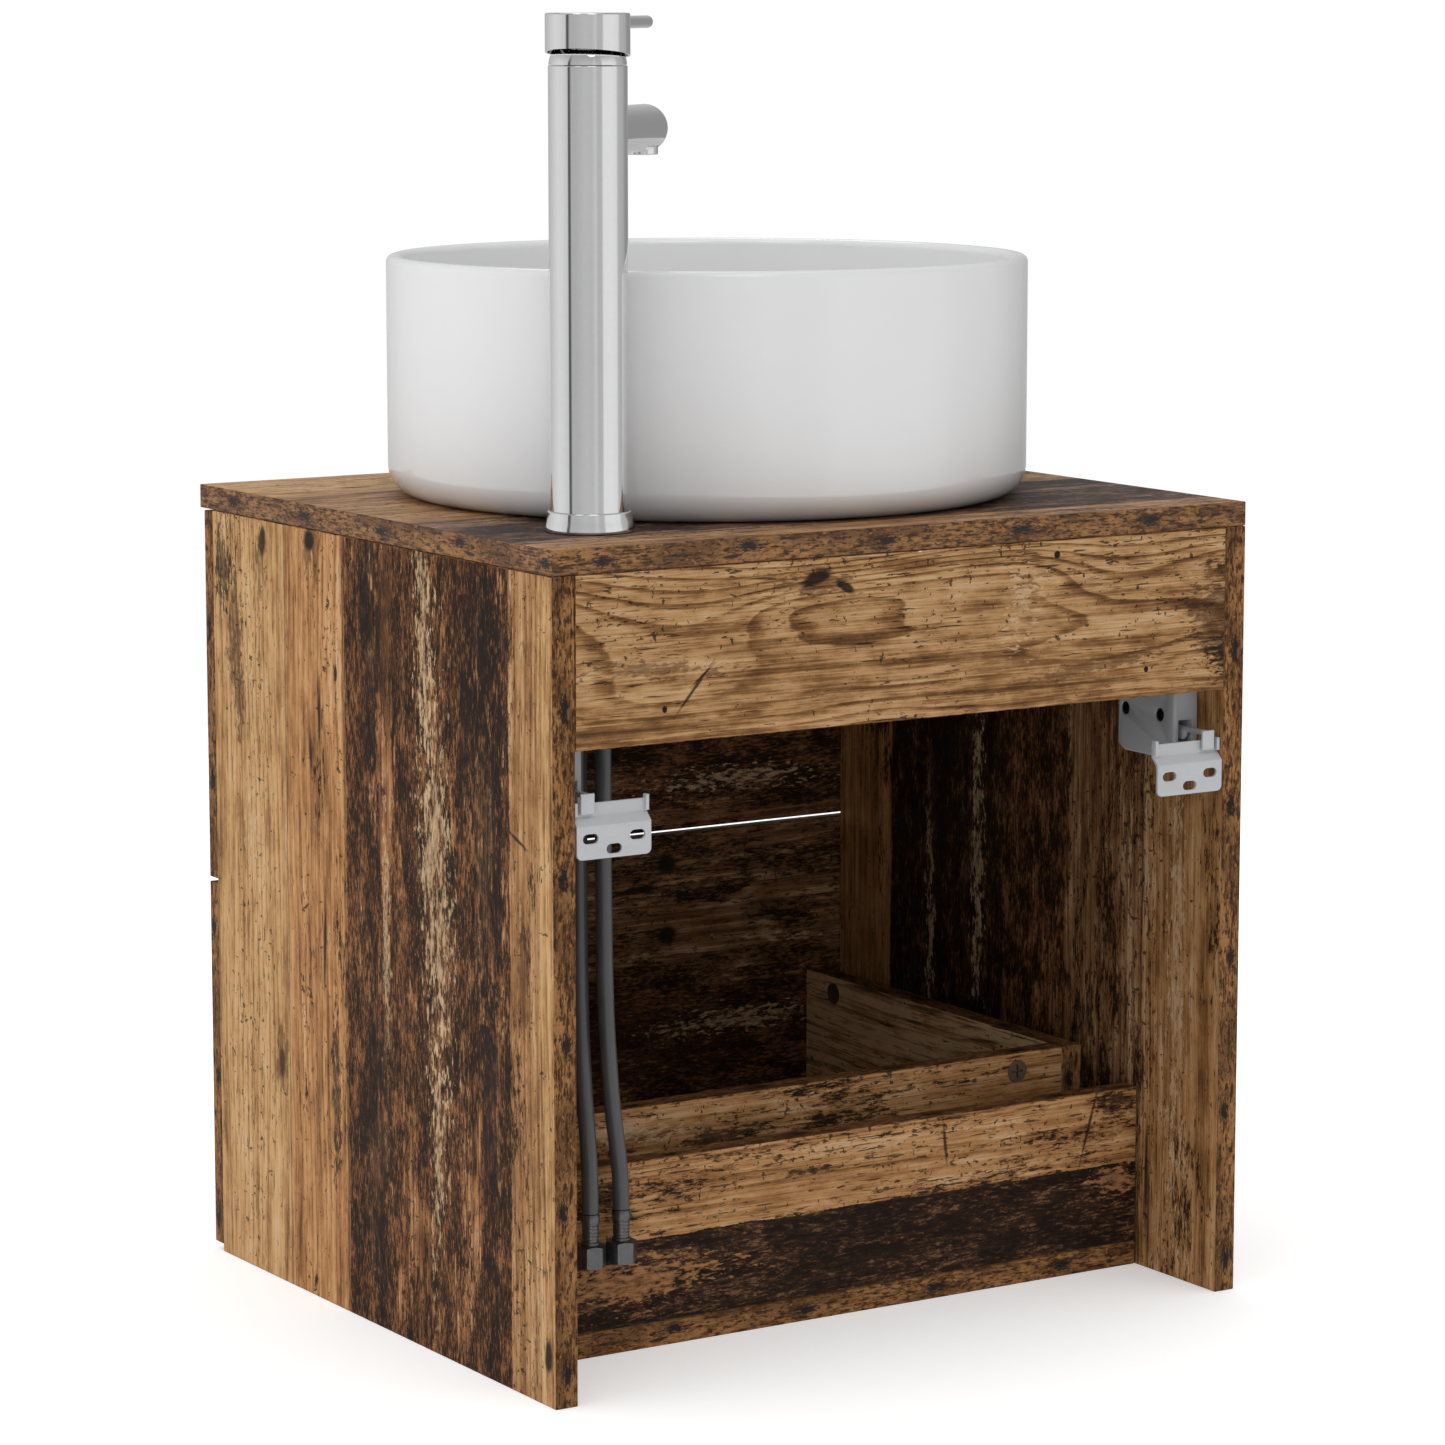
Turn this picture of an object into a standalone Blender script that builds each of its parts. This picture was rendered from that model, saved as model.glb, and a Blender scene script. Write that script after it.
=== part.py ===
"""Bathroom vanity cabinet with a round basin, a lever mixer tap and two wall hangers.

Run it with blender --background --python part.py, or from Blender's text editor.
Units are metres and +Z is up. The origin is at the middle of the cabinet's underside.
The wall is towards +Y, the drawer opens towards -Y, and side +1 is the side with the tap.
"""

import math

import bmesh
import bpy
from mathutils import Matrix, Vector

# --- Driving dimensions ---------------------------------------------------------------
GAP = 0.0003              # left between touching pieces
WIDTH = 0.500             # outside of the side panels
DEPTH = 0.446             # wall to the countertop's front edge
CARCASS_HEIGHT = 0.488    # underside to the countertop
BOARD = 0.015             # chipboard thickness
EASED_EDGE = 0.0005       # small chamfer on every board

WALL = DEPTH / 2                       # plane of the wall
PANEL_FRONT = WALL - 0.429             # front edge of the side panels
INNER_X = WIDTH / 2 - BOARD            # inner face of a side panel
TOP_Z = CARCASS_HEIGHT + GAP + BOARD   # top of the countertop

BOTTOM_BACK = WALL - 0.0836            # the bottom panel stops short of the wall
LOWER_BOARD_TOP = 0.1175
RAIL_BOTTOM = 0.3866

FRONT_THICK = 0.011
FRONT_Y = (PANEL_FRONT - GAP - FRONT_THICK, PANEL_FRONT - GAP)
DRAWER_FRONT_Z = (0.0048, 0.2450)
UPPER_FRONT_Z = (0.2480, 0.4870)

DRAWER_X = 0.222                       # outer face of the drawer's sides
DRAWER_Y = (PANEL_FRONT, WALL - 0.127)
DRAWER_Z = (0.020, 0.139)
DRAWER_TRAVEL = 0.250
DRAWER_BASE_Z = (0.0300, 0.0336)
GROOVE = 0.005                         # depth of the groove that holds the drawer base
CAM_R = 0.0073
CAM_DEPTH = 0.0120
CAM_Z = 0.127

SLIDE_Z = 0.088
SLIDE_Y = (PANEL_FRONT + 0.003, PANEL_FRONT + 0.303)

BASIN_CENTRE = Vector((0.0, WALL - 0.231, TOP_Z + GAP))
BASIN_R = 0.2015
BASIN_HEIGHT = 0.150
BASIN_WALL = 0.0095
BASIN_FLOOR = 0.019
WASTE_HOLE_R = 0.0225

TAP = Vector((0.180, WALL - 0.075, TOP_Z + GAP))
SPOUT_AIM = (BASIN_CENTRE - TAP).to_2d().to_3d().normalized()
COLUMN_R = 0.02315
COLUMN_TOP = 0.7742
SPOUT_Z = 0.7354
SPOUT_R = 0.0143
SPOUT_REACH = 0.122
CAP_R = 0.0248
CAP_TOP = 0.8043
CAP_SLANT = math.radians(7.4)          # tilt of the cap's lower edge
LEVER_R = 0.00375
LEVER_REACH = 0.115
LEVER_Z = 0.7985

SHANK_R = 0.0168
SHANK_BORE = 0.0141
SHANK_BOTTOM = 0.452
HOSE_R = 0.0051
FERRULE_TOP = 0.0935
HOSE_NUT_Z = (0.0610, 0.0745)
HOSE_NUT_TURN = math.radians(47)

HANGER_X = (0.2154, INNER_X - GAP)
HANGER_Y = (WALL - 0.0834, WALL - 0.0250)
HANGER_Z = (0.340, 0.400)
WINDOW_X = (0.2190, 0.2295)
WINDOW_Z = (0.350, 0.365)
SCREW_Y = (WALL - 0.0755, WALL - 0.0400)
SCREW_Z = 0.3672

# --- Finishes: base colour, roughness, metallic -----------------------------------------
FINISHES = {
    "old_wood_light": ((0.42, 0.24, 0.11), 0.55, 0.0),
    "old_wood_dark": ((0.15, 0.085, 0.06), 0.55, 0.0),
    "ceramic_white": ((0.85, 0.85, 0.85), 0.08, 0.0),
    "chrome": ((0.75, 0.76, 0.78), 0.07, 1.0),
    "zinc_steel": ((0.55, 0.56, 0.58), 0.35, 1.0),
    "hanger_white": ((0.68, 0.69, 0.70), 0.45, 0.0),
    "dark_screw": ((0.06, 0.06, 0.065), 0.40, 1.0),
    "hose_rubber": ((0.09, 0.09, 0.095), 0.45, 0.0),
    "brass_nickel": ((0.50, 0.49, 0.46), 0.25, 1.0),
    "black_rubber": ((0.03, 0.03, 0.03), 0.60, 0.0),
    "cartridge_plastic": ((0.55, 0.55, 0.53), 0.50, 0.0),
}


# --- Helpers ----------------------------------------------------------------------------
def finish(name):
    """Return the material called name, making it the first time it is asked for."""
    material = bpy.data.materials.get(name)
    if material:
        return material
    colour, roughness, metallic = FINISHES[name]
    material = bpy.data.materials.new(name)
    material.use_nodes = True
    shader = material.node_tree.nodes["Principled BSDF"]
    shader.inputs["Base Color"].default_value = (*colour, 1.0)
    shader.inputs["Roughness"].default_value = roughness
    shader.inputs["Metallic"].default_value = metallic
    return material


def add_object(name, shape, material, smooth=False):
    """Turn a bmesh into a named object; round pieces are shaded smooth."""
    bmesh.ops.recalc_face_normals(shape, faces=shape.faces)
    mesh = bpy.data.meshes.new(name)
    shape.to_mesh(mesh)
    shape.free()
    piece = bpy.data.objects.new(name, mesh)
    bpy.context.scene.collection.objects.link(piece)
    if smooth:
        mesh.shade_smooth()
        mesh.set_sharp_from_angle(angle=math.radians(35))
    if material:
        mesh.materials.append(finish(material))
    return piece


def box(name, x, y, z, material=None, edge=0.0):
    """A block between pairs of x, y and z, with its edges chamfered by edge."""
    low, high = Vector((min(x), min(y), min(z))), Vector((max(x), max(y), max(z)))
    shape = bmesh.new()
    bmesh.ops.create_cube(shape, size=1.0)
    bmesh.ops.scale(shape, vec=high - low, verts=shape.verts)
    bmesh.ops.translate(shape, vec=(low + high) / 2, verts=shape.verts)
    if edge:
        bmesh.ops.bevel(shape, geom=shape.edges[:], offset=edge, segments=1, affect="EDGES")
    return add_object(name, shape, material)


def prism(name, outline, span, axis, material=None):
    """Extrude an outline along X, Y or Z over span; it is drawn in the other two axes."""
    shape = bmesh.new()
    if axis == "X":
        corners = [shape.verts.new((span[0], a, b)) for a, b in outline]
        travel = (span[1] - span[0], 0.0, 0.0)
    elif axis == "Y":
        corners = [shape.verts.new((a, span[0], b)) for a, b in outline]
        travel = (0.0, span[1] - span[0], 0.0)
    else:
        corners = [shape.verts.new((a, b, span[0])) for a, b in outline]
        travel = (0.0, 0.0, span[1] - span[0])
    face = shape.faces.new(corners)
    top = bmesh.ops.extrude_face_region(shape, geom=[face])["geom"]
    moved = [item for item in top if isinstance(item, bmesh.types.BMVert)]
    bmesh.ops.translate(shape, vec=travel, verts=moved)
    return add_object(name, shape, material)


def turned(name, outline, centre, material=None, ring=False, steps=32, aim=None):
    """Spin an outline of (radius, height) about an axis that points along aim."""
    shape = bmesh.new()
    corners = [shape.verts.new((radius, 0.0, height)) for radius, height in outline]
    pairs = list(zip(corners, corners[1:]))
    if ring:
        pairs.append((corners[-1], corners[0]))
    edges = [shape.edges.new(pair) for pair in pairs]
    bmesh.ops.spin(shape, geom=corners + edges, cent=(0, 0, 0), axis=(0, 0, 1),
                   angle=2 * math.pi, steps=steps)
    bmesh.ops.remove_doubles(shape, verts=shape.verts[:], dist=0.000001)
    place = Matrix.Translation(centre)
    if aim is not None:
        place = place @ Vector((0, 0, 1)).rotation_difference(aim).to_matrix().to_4x4()
    shape.transform(place)
    return add_object(name, shape, material, smooth=True)


def rod(name, radius, start, length, aim, material=None, steps=24):
    """A plain round bar from start along aim."""
    outline = [(0, 0), (radius, 0), (radius, length), (0, length)]
    return turned(name, outline, Vector(start), material, steps=steps, aim=Vector(aim))


def pipe(name, outer, inner, z, centre, material, steps=32):
    """An upright tube: outer may be one radius or a (bottom, top) pair."""
    bottom, top = outer if isinstance(outer, tuple) else (outer, outer)
    outline = [(inner, z[0]), (bottom, z[0]), (top, z[1]), (inner, z[1])]
    return turned(name, outline, Vector((centre.x, centre.y, 0)), material, ring=True, steps=steps)


def combine(piece, other, operation="DIFFERENCE"):
    """Cut a guide shape out of a piece, or join it on with UNION."""
    guide = other
    guide.hide_render = True
    guide.display_type = "WIRE"
    guide.parent = piece
    modifier = piece.modifiers.new(operation.lower(), "BOOLEAN")
    modifier.operation = operation
    modifier.solver = "EXACT"
    modifier.object = guide


def moving_group(name, pivot, pieces, parent=None):
    """Parent pieces to an empty that sits on their joint's axis."""
    empty = bpy.data.objects.new(name, None)
    bpy.context.scene.collection.objects.link(empty)
    empty.empty_display_size = 0.02
    empty.location = pivot
    if parent:
        empty.parent = parent
        empty.location = Vector(pivot) - parent_place(parent)
    for piece in pieces:
        piece.parent = empty
        piece.matrix_parent_inverse = Matrix.Translation(-Vector(pivot))
    return empty


def parent_place(empty):
    """World place of an empty that may have empties above it."""
    place = Vector(empty.location)
    while empty.parent:
        empty = empty.parent
        place += Vector(empty.location)
    return place


def side_name(side):
    """Side +1 carries the tap and is called left, as seen from behind."""
    return "left" if side > 0 else "right"


def arc(centre, radius, start, stop, count):
    """Points on an arc, angles in degrees."""
    angles = [math.radians(start + (stop - start) * i / count) for i in range(count + 1)]
    return [(centre[0] + radius * math.cos(a), centre[1] + radius * math.sin(a)) for a in angles]


# --- Carcass ----------------------------------------------------------------------------
def build_carcass():
    """Side panels, bottom, rails, lower rear board, fixed upper front and countertop."""
    between = (-(INNER_X - GAP), INNER_X - GAP)
    for side in (1, -1):
        box(f"side_panel_{side_name(side)}", (side * INNER_X, side * WIDTH / 2),
            (PANEL_FRONT, WALL), (0, CARCASS_HEIGHT), "old_wood_light", EASED_EDGE)
    box("bottom_panel", between, (PANEL_FRONT, BOTTOM_BACK), (0, BOARD), "old_wood_light", EASED_EDGE)
    box("rear_lower_board", between, (BOTTOM_BACK - BOARD, BOTTOM_BACK),
        (BOARD + GAP, LOWER_BOARD_TOP), "old_wood_dark", EASED_EDGE)
    box("rear_top_rail", between, (WALL - BOARD, WALL), (RAIL_BOTTOM, CARCASS_HEIGHT),
        "old_wood_light", EASED_EDGE)
    box("front_rail", between, (PANEL_FRONT, PANEL_FRONT + BOARD),
        (CARCASS_HEIGHT - 0.070, CARCASS_HEIGHT), "old_wood_light", EASED_EDGE)
    box("upper_front", (-WIDTH / 2, WIDTH / 2), FRONT_Y, UPPER_FRONT_Z, "old_wood_dark", EASED_EDGE)
    top = box("countertop", (-WIDTH / 2, WIDTH / 2), (-WALL, WALL), (CARCASS_HEIGHT + GAP, TOP_Z),
              "old_wood_dark", EASED_EDGE)
    for name, centre, radius in (("tap_hole", TAP, 0.0175), ("waste_hole", BASIN_CENTRE, 0.0240)):
        start = (centre.x, centre.y, CARCASS_HEIGHT - BOARD)
        combine(top, rod(f"{name}_cutter", radius, start, 3 * BOARD, (0, 0, 1)))


# --- Drawer and its slides ----------------------------------------------------------------
def cam(name, centre, aim):
    """A round cam fitting and the cutter for its bore; aim points out of the board."""
    out = Vector(aim)
    start = Vector(centre) - out * CAM_DEPTH
    piece = rod(name, CAM_R, start, CAM_DEPTH, out, "zinc_steel", steps=20)
    slot_depth = 0.0020
    bars = []
    for number, (long, wide) in enumerate(((0.0045, 0.0007), (0.0007, 0.0045))):
        x = (-long, long) if abs(out.x) < 0.5 else (-slot_depth, slot_depth)
        y = (-slot_depth, slot_depth) if abs(out.x) < 0.5 else (-long, long)
        bar = box(f"{name}_slot_{number}", x, y, (-wide, wide))
        bar.data.transform(Matrix.Translation(centre))
        bars.append(bar)
    for bar in bars:
        combine(piece, bar)
    bore = rod(f"{name}_bore", CAM_R + GAP, start - out * GAP, CAM_DEPTH + 0.010, out, steps=20)
    return piece, bore


def build_drawer():
    """The drawer's boards, its base in grooves, and the cam fittings that hold it."""
    inner = DRAWER_X - BOARD
    front = box("drawer_front", (-WIDTH / 2, WIDTH / 2), FRONT_Y, DRAWER_FRONT_Z, "old_wood_dark",
                EASED_EDGE)
    back = box("drawer_back", (-(inner - GAP), inner - GAP), (DRAWER_Y[1] - BOARD, DRAWER_Y[1]),
               (DRAWER_BASE_Z[1] + 2 * GAP, DRAWER_Z[1]), "old_wood_dark", EASED_EDGE)
    base = box("drawer_base", (-(inner + GROOVE - 2 * GAP), inner + GROOVE - 2 * GAP), DRAWER_Y,
               DRAWER_BASE_Z, "old_wood_light")
    pieces = [front, back, base]
    for side in (1, -1):
        label = side_name(side)
        board = box(f"drawer_side_{label}", (side * inner, side * DRAWER_X), DRAWER_Y, DRAWER_Z,
                    "old_wood_light", EASED_EDGE)
        groove = box(f"drawer_groove_{label}", (side * (inner - GROOVE), side * (inner + GROOVE)),
                     (DRAWER_Y[0] - BOARD, DRAWER_Y[1] + BOARD),
                     (DRAWER_BASE_Z[0] - GAP, DRAWER_BASE_Z[1] + GAP))
        combine(board, groove)
        front_cam, front_bore = cam(f"drawer_cam_front_{label}",
                                    (side * inner, DRAWER_Y[0] + 0.034, CAM_Z), (-side, 0, 0))
        combine(board, front_bore)
        rear_cam, rear_bore = cam(f"drawer_cam_back_{label}",
                                  (side * (inner - 0.036), DRAWER_Y[1], CAM_Z), (0, 1, 0))
        combine(back, rear_bore)
        pieces += [board, front_cam, rear_cam]
    return pieces


def channel(name, side, web_x, lip_x, half, sheet):
    """A C-shaped slide rail: an upright web with a lip above and below."""
    web = (web_x, web_x + (sheet if web_x > lip_x else -sheet))
    inside = min(web) if web_x > lip_x else max(web)
    outside = max(web) if web_x > lip_x else min(web)
    low, high = SLIDE_Z - half, SLIDE_Z + half
    outline = [(outside, low), (outside, high), (lip_x, high), (lip_x, high - sheet),
               (inside, high - sheet), (inside, low + sheet), (lip_x, low + sheet), (lip_x, low)]
    outline = [(side * x, z) for x, z in outline]
    return prism(name, outline, SLIDE_Y, "Y", "zinc_steel")


def build_slides(side):
    """Outer rail on the panel, middle rail, and inner rail on the drawer."""
    label = side_name(side)
    outer_web = INNER_X - GAP - 0.0012
    channel(f"slide_outer_{label}", side, outer_web, 0.2245, 0.0175, 0.0012)
    middle = channel(f"slide_middle_{label}", side, 0.2306, 0.2262, 0.0148, 0.0010)
    inner_web = DRAWER_X + GAP + 0.0012
    inner = channel(f"slide_inner_{label}", side, inner_web, 0.2285, 0.0120, 0.0012)
    return middle, inner


# --- Wall hangers -------------------------------------------------------------------------
def hanger_screw(name, side, y, length):
    """A cross-head screw whose head sits in the housing's inner face."""
    out = Vector((-side, 0, 0))
    head_x = side * (HANGER_X[0] + 0.0003)
    outline = [(0, -length), (0.00170, -length), (0.00170, -0.0016), (0.0040, -0.0014),
               (0.0040, -0.0004), (0.0030, 0), (0, 0)]
    screw = turned(name, outline, Vector((head_x, y, SCREW_Z)), "dark_screw", steps=16, aim=out)
    for number, (tall, wide) in enumerate(((0.0024, 0.0005), (0.0005, 0.0024))):
        bar = box(f"{name}_slot_{number}", (head_x - 0.0010, head_x + 0.0010),
                  (y - wide, y + wide), (SCREW_Z - tall, SCREW_Z + tall))
        combine(screw, bar)
    return screw


def wall_plate(name, side):
    """The slotted plate for the wall, joggled so that the hook fits behind it.

    An ear stands at each end of its upper flange, with a notch beside the outer ear.
    """
    sheet = 0.0020
    rear, step = WALL, 0.0050
    outline = [(rear, 0.3230), (rear, 0.3425), (rear - step, 0.3475), (rear - step, 0.3550),
               (rear - step - sheet, 0.3550), (rear - step - sheet, 0.3470),
               (rear - sheet, 0.3420), (rear - sheet, 0.3230)]
    outer = INNER_X - 0.0010
    plate = prism(name, outline, sorted((side * (outer - 0.050), side * outer)), "X", "hanger_white")
    middle = side * (outer - 0.025)
    for number, (x, z) in enumerate(((-0.0158, 0.3350), (0.0158, 0.3350), (0.0, 0.3282))):
        slot = obround(f"{name}_slot_{number}", middle + x, z, 0.0106, 0.0058)
        combine(plate, slot)
    through = (WALL - 0.010, WALL + 0.004)
    for number, end in enumerate((-1, 1)):
        combine(plate, corner_cutter(f"{name}_corner_{number}", middle + end * 0.025, 0.3230,
                                     -end, 0.0035, through))
    notch = box(f"{name}_notch", [side * v for v in (outer - 0.0042, outer - 0.0020)], through,
                (0.3488, 0.3600))
    combine(plate, notch)
    ear_y = (rear - step - 0.0012, rear - step + 0.0026)
    for label, x, top in (("inner", (outer - 0.0500, outer - 0.0480), 0.3575),
                          ("outer", (outer - 0.0020, outer), 0.3560)):
        ear = box(f"{name}_ear_{label}", [side * v for v in x], ear_y, (0.3482, top))
        combine(plate, ear, "UNION")
    return plate


def corner_cutter(name, x, z, inward, radius, span):
    """Rounds off a lower corner at (x, z): a square with a quarter circle left standing."""
    over = 0.001
    centre = (x + inward * radius, z + radius)
    bend = arc(centre, radius, 270, 180, 5) if inward > 0 else arc(centre, radius, 270, 360, 5)
    outline = [(x - inward * over, z - over), (centre[0], z - over)] + bend
    outline += [(x - inward * over, centre[1])]
    return prism(name, outline, span, "Y")


def obround(name, x, z, length, height):
    """A slot cutter with round ends, running through the wall plate along Y."""
    radius = height / 2
    reach = length / 2 - radius
    outline = [(x + a, z + b) for a, b in
               arc((reach, 0), radius, -90, 90, 6) + arc((-reach, 0), radius, 90, 270, 6)]
    return prism(name, outline, (WALL - 0.010, WALL + 0.004), "Y")


def build_hanger(side):
    """Housing, two screws, carriage, hook and wall plate of one hanger."""
    label = side_name(side)
    x = [side * value for value in HANGER_X]
    housing = box(f"hanger_housing_{label}", x, HANGER_Y, HANGER_Z, "hanger_white", 0.0012)
    window = [side * value for value in WINDOW_X]
    combine(housing, box(f"hanger_window_{label}", window, (WALL - 0.076, WALL), WINDOW_Z))
    corner = [(HANGER_Y[0] - 0.001, HANGER_Z[0] - 0.001), (HANGER_Y[0] + 0.009, HANGER_Z[0] - 0.001),
              (HANGER_Y[0] - 0.001, HANGER_Z[0] + 0.006)]
    span = sorted((side * (HANGER_X[0] - 0.01), side * (HANGER_X[1] + 0.0002)))
    combine(housing, prism(f"hanger_corner_{label}", corner, span, "X"))
    for number, y in enumerate(SCREW_Y):
        start = (side * (HANGER_X[0] - 0.002), y, SCREW_Z)
        depth = 0.0135
        combine(housing, rod(f"hanger_bore_{label}_{number}", 0.0020, start, depth + 0.0025,
                             (side, 0, 0), steps=16))
        combine(housing, rod(f"hanger_seat_{label}_{number}", 0.0044, start, 0.0040,
                             (side, 0, 0), steps=16))
        hanger_screw(f"hanger_screw_{label}_{number + 1}", side, y, depth)
    carriage = box(f"hanger_carriage_{label}", [side * v for v in (0.2193, 0.2226)],
                   (WALL - 0.070, WALL - 0.048), (0.3525, 0.3625), "zinc_steel")
    tip_low, reach_low = 0.3490, 0.3578
    outline = [(WALL - 0.0710, 0.3525), (WALL - 0.0270, 0.3525), (WALL - 0.0250, 0.3545),
               (WALL - 0.0235, reach_low), (WALL - 0.0044, reach_low), (WALL - 0.0044, tip_low),
               (WALL - 0.0024, tip_low), (WALL - 0.0024, 0.3610), (WALL - 0.0710, 0.3610)]
    hook = prism(f"hanger_hook_{label}", outline, sorted((side * 0.2230, side * 0.2258)), "X",
                 "hanger_white")
    claw = box(f"hanger_claw_{label}", [side * v for v in (0.2207, 0.2297)],
               (WALL - 0.0044, WALL - 0.0024), (tip_low, 0.3610))
    combine(hook, claw, "UNION")
    return carriage, hook, wall_plate(f"wall_plate_{label}", side)


# --- Basin and waste -------------------------------------------------------------------------
def basin_outline():
    """Half section of the bowl, from the drain hole outside and back inside."""
    lip = 0.0045
    foot = 0.019
    corner = 0.055
    inner_r = BASIN_R - BASIN_WALL
    outside = arc((BASIN_R - foot, foot), foot, -90, 0, 6)
    rim = arc((BASIN_R - lip, BASIN_HEIGHT - lip), lip, 0, 90, 3)
    rim += arc((inner_r + lip, BASIN_HEIGHT - lip), lip, 90, 180, 3)
    floor = BASIN_FLOOR
    inside = arc((inner_r - corner, floor + corner), corner, 0, -90, 7)
    return ([(WASTE_HOLE_R, 0.0)] + outside + rim + inside
            + [(WASTE_HOLE_R + 0.006, floor), (WASTE_HOLE_R, floor)])


def build_basin():
    """The round ceramic bowl standing on the countertop."""
    turned("basin", basin_outline(), BASIN_CENTRE, "ceramic_white", ring=True, steps=56)


def build_waste():
    """Push-open waste: flanged body, guide, plug, sealing washer and back nut."""
    centre = Vector((BASIN_CENTRE.x, BASIN_CENTRE.y, 0))
    seat = BASIN_CENTRE.z + BASIN_FLOOR + GAP
    outline = [(0.0170, seat + 0.0030), (0.0310, seat + 0.0020), (0.0315, seat), (0.0210, seat),
               (0.0210, 0.440), (0.0160, 0.437), (0.0160, 0.400), (0.0138, 0.400),
               (0.0138, 0.440), (0.0170, 0.444)]
    turned("waste_body", outline, centre, "chrome", ring=True, steps=32)
    guide = rod("waste_guide", 0.0167, (centre.x, centre.y, 0.472), 0.004, (0, 0, 1),
                "cartridge_plastic", steps=24)
    holes = [(0.0, 0.0034)] + [(0.0100, 0.0042)] * 4
    for number, (offset, radius) in enumerate(holes):
        turn = math.radians(90 * number + 45)
        start = (centre.x + offset * math.cos(turn), centre.y + offset * math.sin(turn), 0.465)
        combine(guide, rod(f"waste_guide_hole_{number}", radius, start, 0.020, (0, 0, 1), steps=12))
    plug_z = seat + 0.0034
    outline = [(0, 0.466), (0.0030, 0.466), (0.0030, plug_z - 0.002), (0.0150, plug_z - 0.002),
               (0.0152, plug_z), (0.0285, plug_z), (0.0290, plug_z + 0.0020),
               (0.0270, plug_z + 0.0042), (0.0150, plug_z + 0.0060), (0, plug_z + 0.0066)]
    plug = turned("waste_plug", outline, centre, "chrome", steps=32)
    pipe("waste_washer", 0.0300, 0.0213, (0.4840, CARCASS_HEIGHT), centre, "black_rubber")
    hex_nut("waste_nut", 0.0500, 0.0213, (0.4745, 0.4837), centre, "chrome")
    return plug


def hex_nut(name, across_flats, bore, z, centre, material, turn=0.0):
    """A hexagonal nut with a round bore; turn sets where its first corner points."""
    corner = across_flats / math.sqrt(3)
    soft = 0.0008
    outline = [(0, z[0]), (corner - soft, z[0]), (corner, z[0] + soft), (corner, z[1] - soft),
               (corner - soft, z[1]), (0, z[1])]
    place = Vector((centre.x, centre.y, 0))
    nut = turned(name, outline, Vector(), material, steps=6)
    nut.data.transform(Matrix.Translation(place) @ Matrix.Rotation(turn, 4, "Z"))
    combine(nut, rod(f"{name}_bore", bore, place + Vector((0, 0, z[0] - 0.01)),
                     z[1] - z[0] + 0.02, (0, 0, 1)))
    return nut


# --- Tap -------------------------------------------------------------------------------------
def build_tap_body():
    """Base flange, column, dome collar, cartridge, spout, aerator and fixing parts."""
    foot = TAP.z
    pipe("tap_flange", (0.0266, 0.0246), COLUMN_R + GAP, (foot, foot + 0.0120), TAP, "chrome")
    seam = COLUMN_TOP
    column = [(0, foot), (COLUMN_R, foot), (COLUMN_R, seam - 0.0004), (COLUMN_R - 0.0004, seam),
              (0.0140, seam), (0.0140, seam - 0.034), (0, seam - 0.034)]
    place = Vector((TAP.x, TAP.y, 0))
    turned("tap_body", column, place, "chrome", steps=40)
    dome = [(0.0140, seam + GAP)] + arc((0, seam), COLUMN_R - 0.0003, 1, 37, 5)
    dome += [(0.0140, dome[-1][1])]
    turned("tap_collar", dome, place, "chrome", ring=True, steps=40)
    rod("tap_cartridge", 0.0137, place + Vector((0, 0, seam - 0.0337)), 0.0375, (0, 0, 1),
        "cartridge_plastic")
    spindle = rod("tap_spindle", 0.0120, place + Vector((0, 0, seam + 0.0041)), 0.0030, (0, 0, 1),
                  "brass_nickel")
    start = place + Vector((0, 0, SPOUT_Z))
    nose = arc((0, SPOUT_REACH - SPOUT_R), SPOUT_R, 0, 90, 5)[:-1]
    spout = turned("tap_spout", [(0, 0.010), (SPOUT_R, 0.010)] + nose + [(0, SPOUT_REACH)], start,
                   "chrome", steps=28, aim=SPOUT_AIM)
    combine(spout, rod("spout_saddle", COLUMN_R + GAP, place + Vector((0, 0, 0.70)), 0.07, (0, 0, 1),
                       steps=40))
    outlet = place + SPOUT_AIM * (SPOUT_REACH - 0.0185)
    mouth = SPOUT_Z - SPOUT_R
    combine(spout, rod("spout_mouth", 0.0100, outlet + Vector((0, 0, mouth - 0.01)), 0.0200,
                       (0, 0, 1), steps=24))
    pipe("tap_aerator", 0.0097, 0.0060, (mouth - 0.0015, mouth + 0.0095), outlet, "chrome", steps=24)
    return spindle


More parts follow.
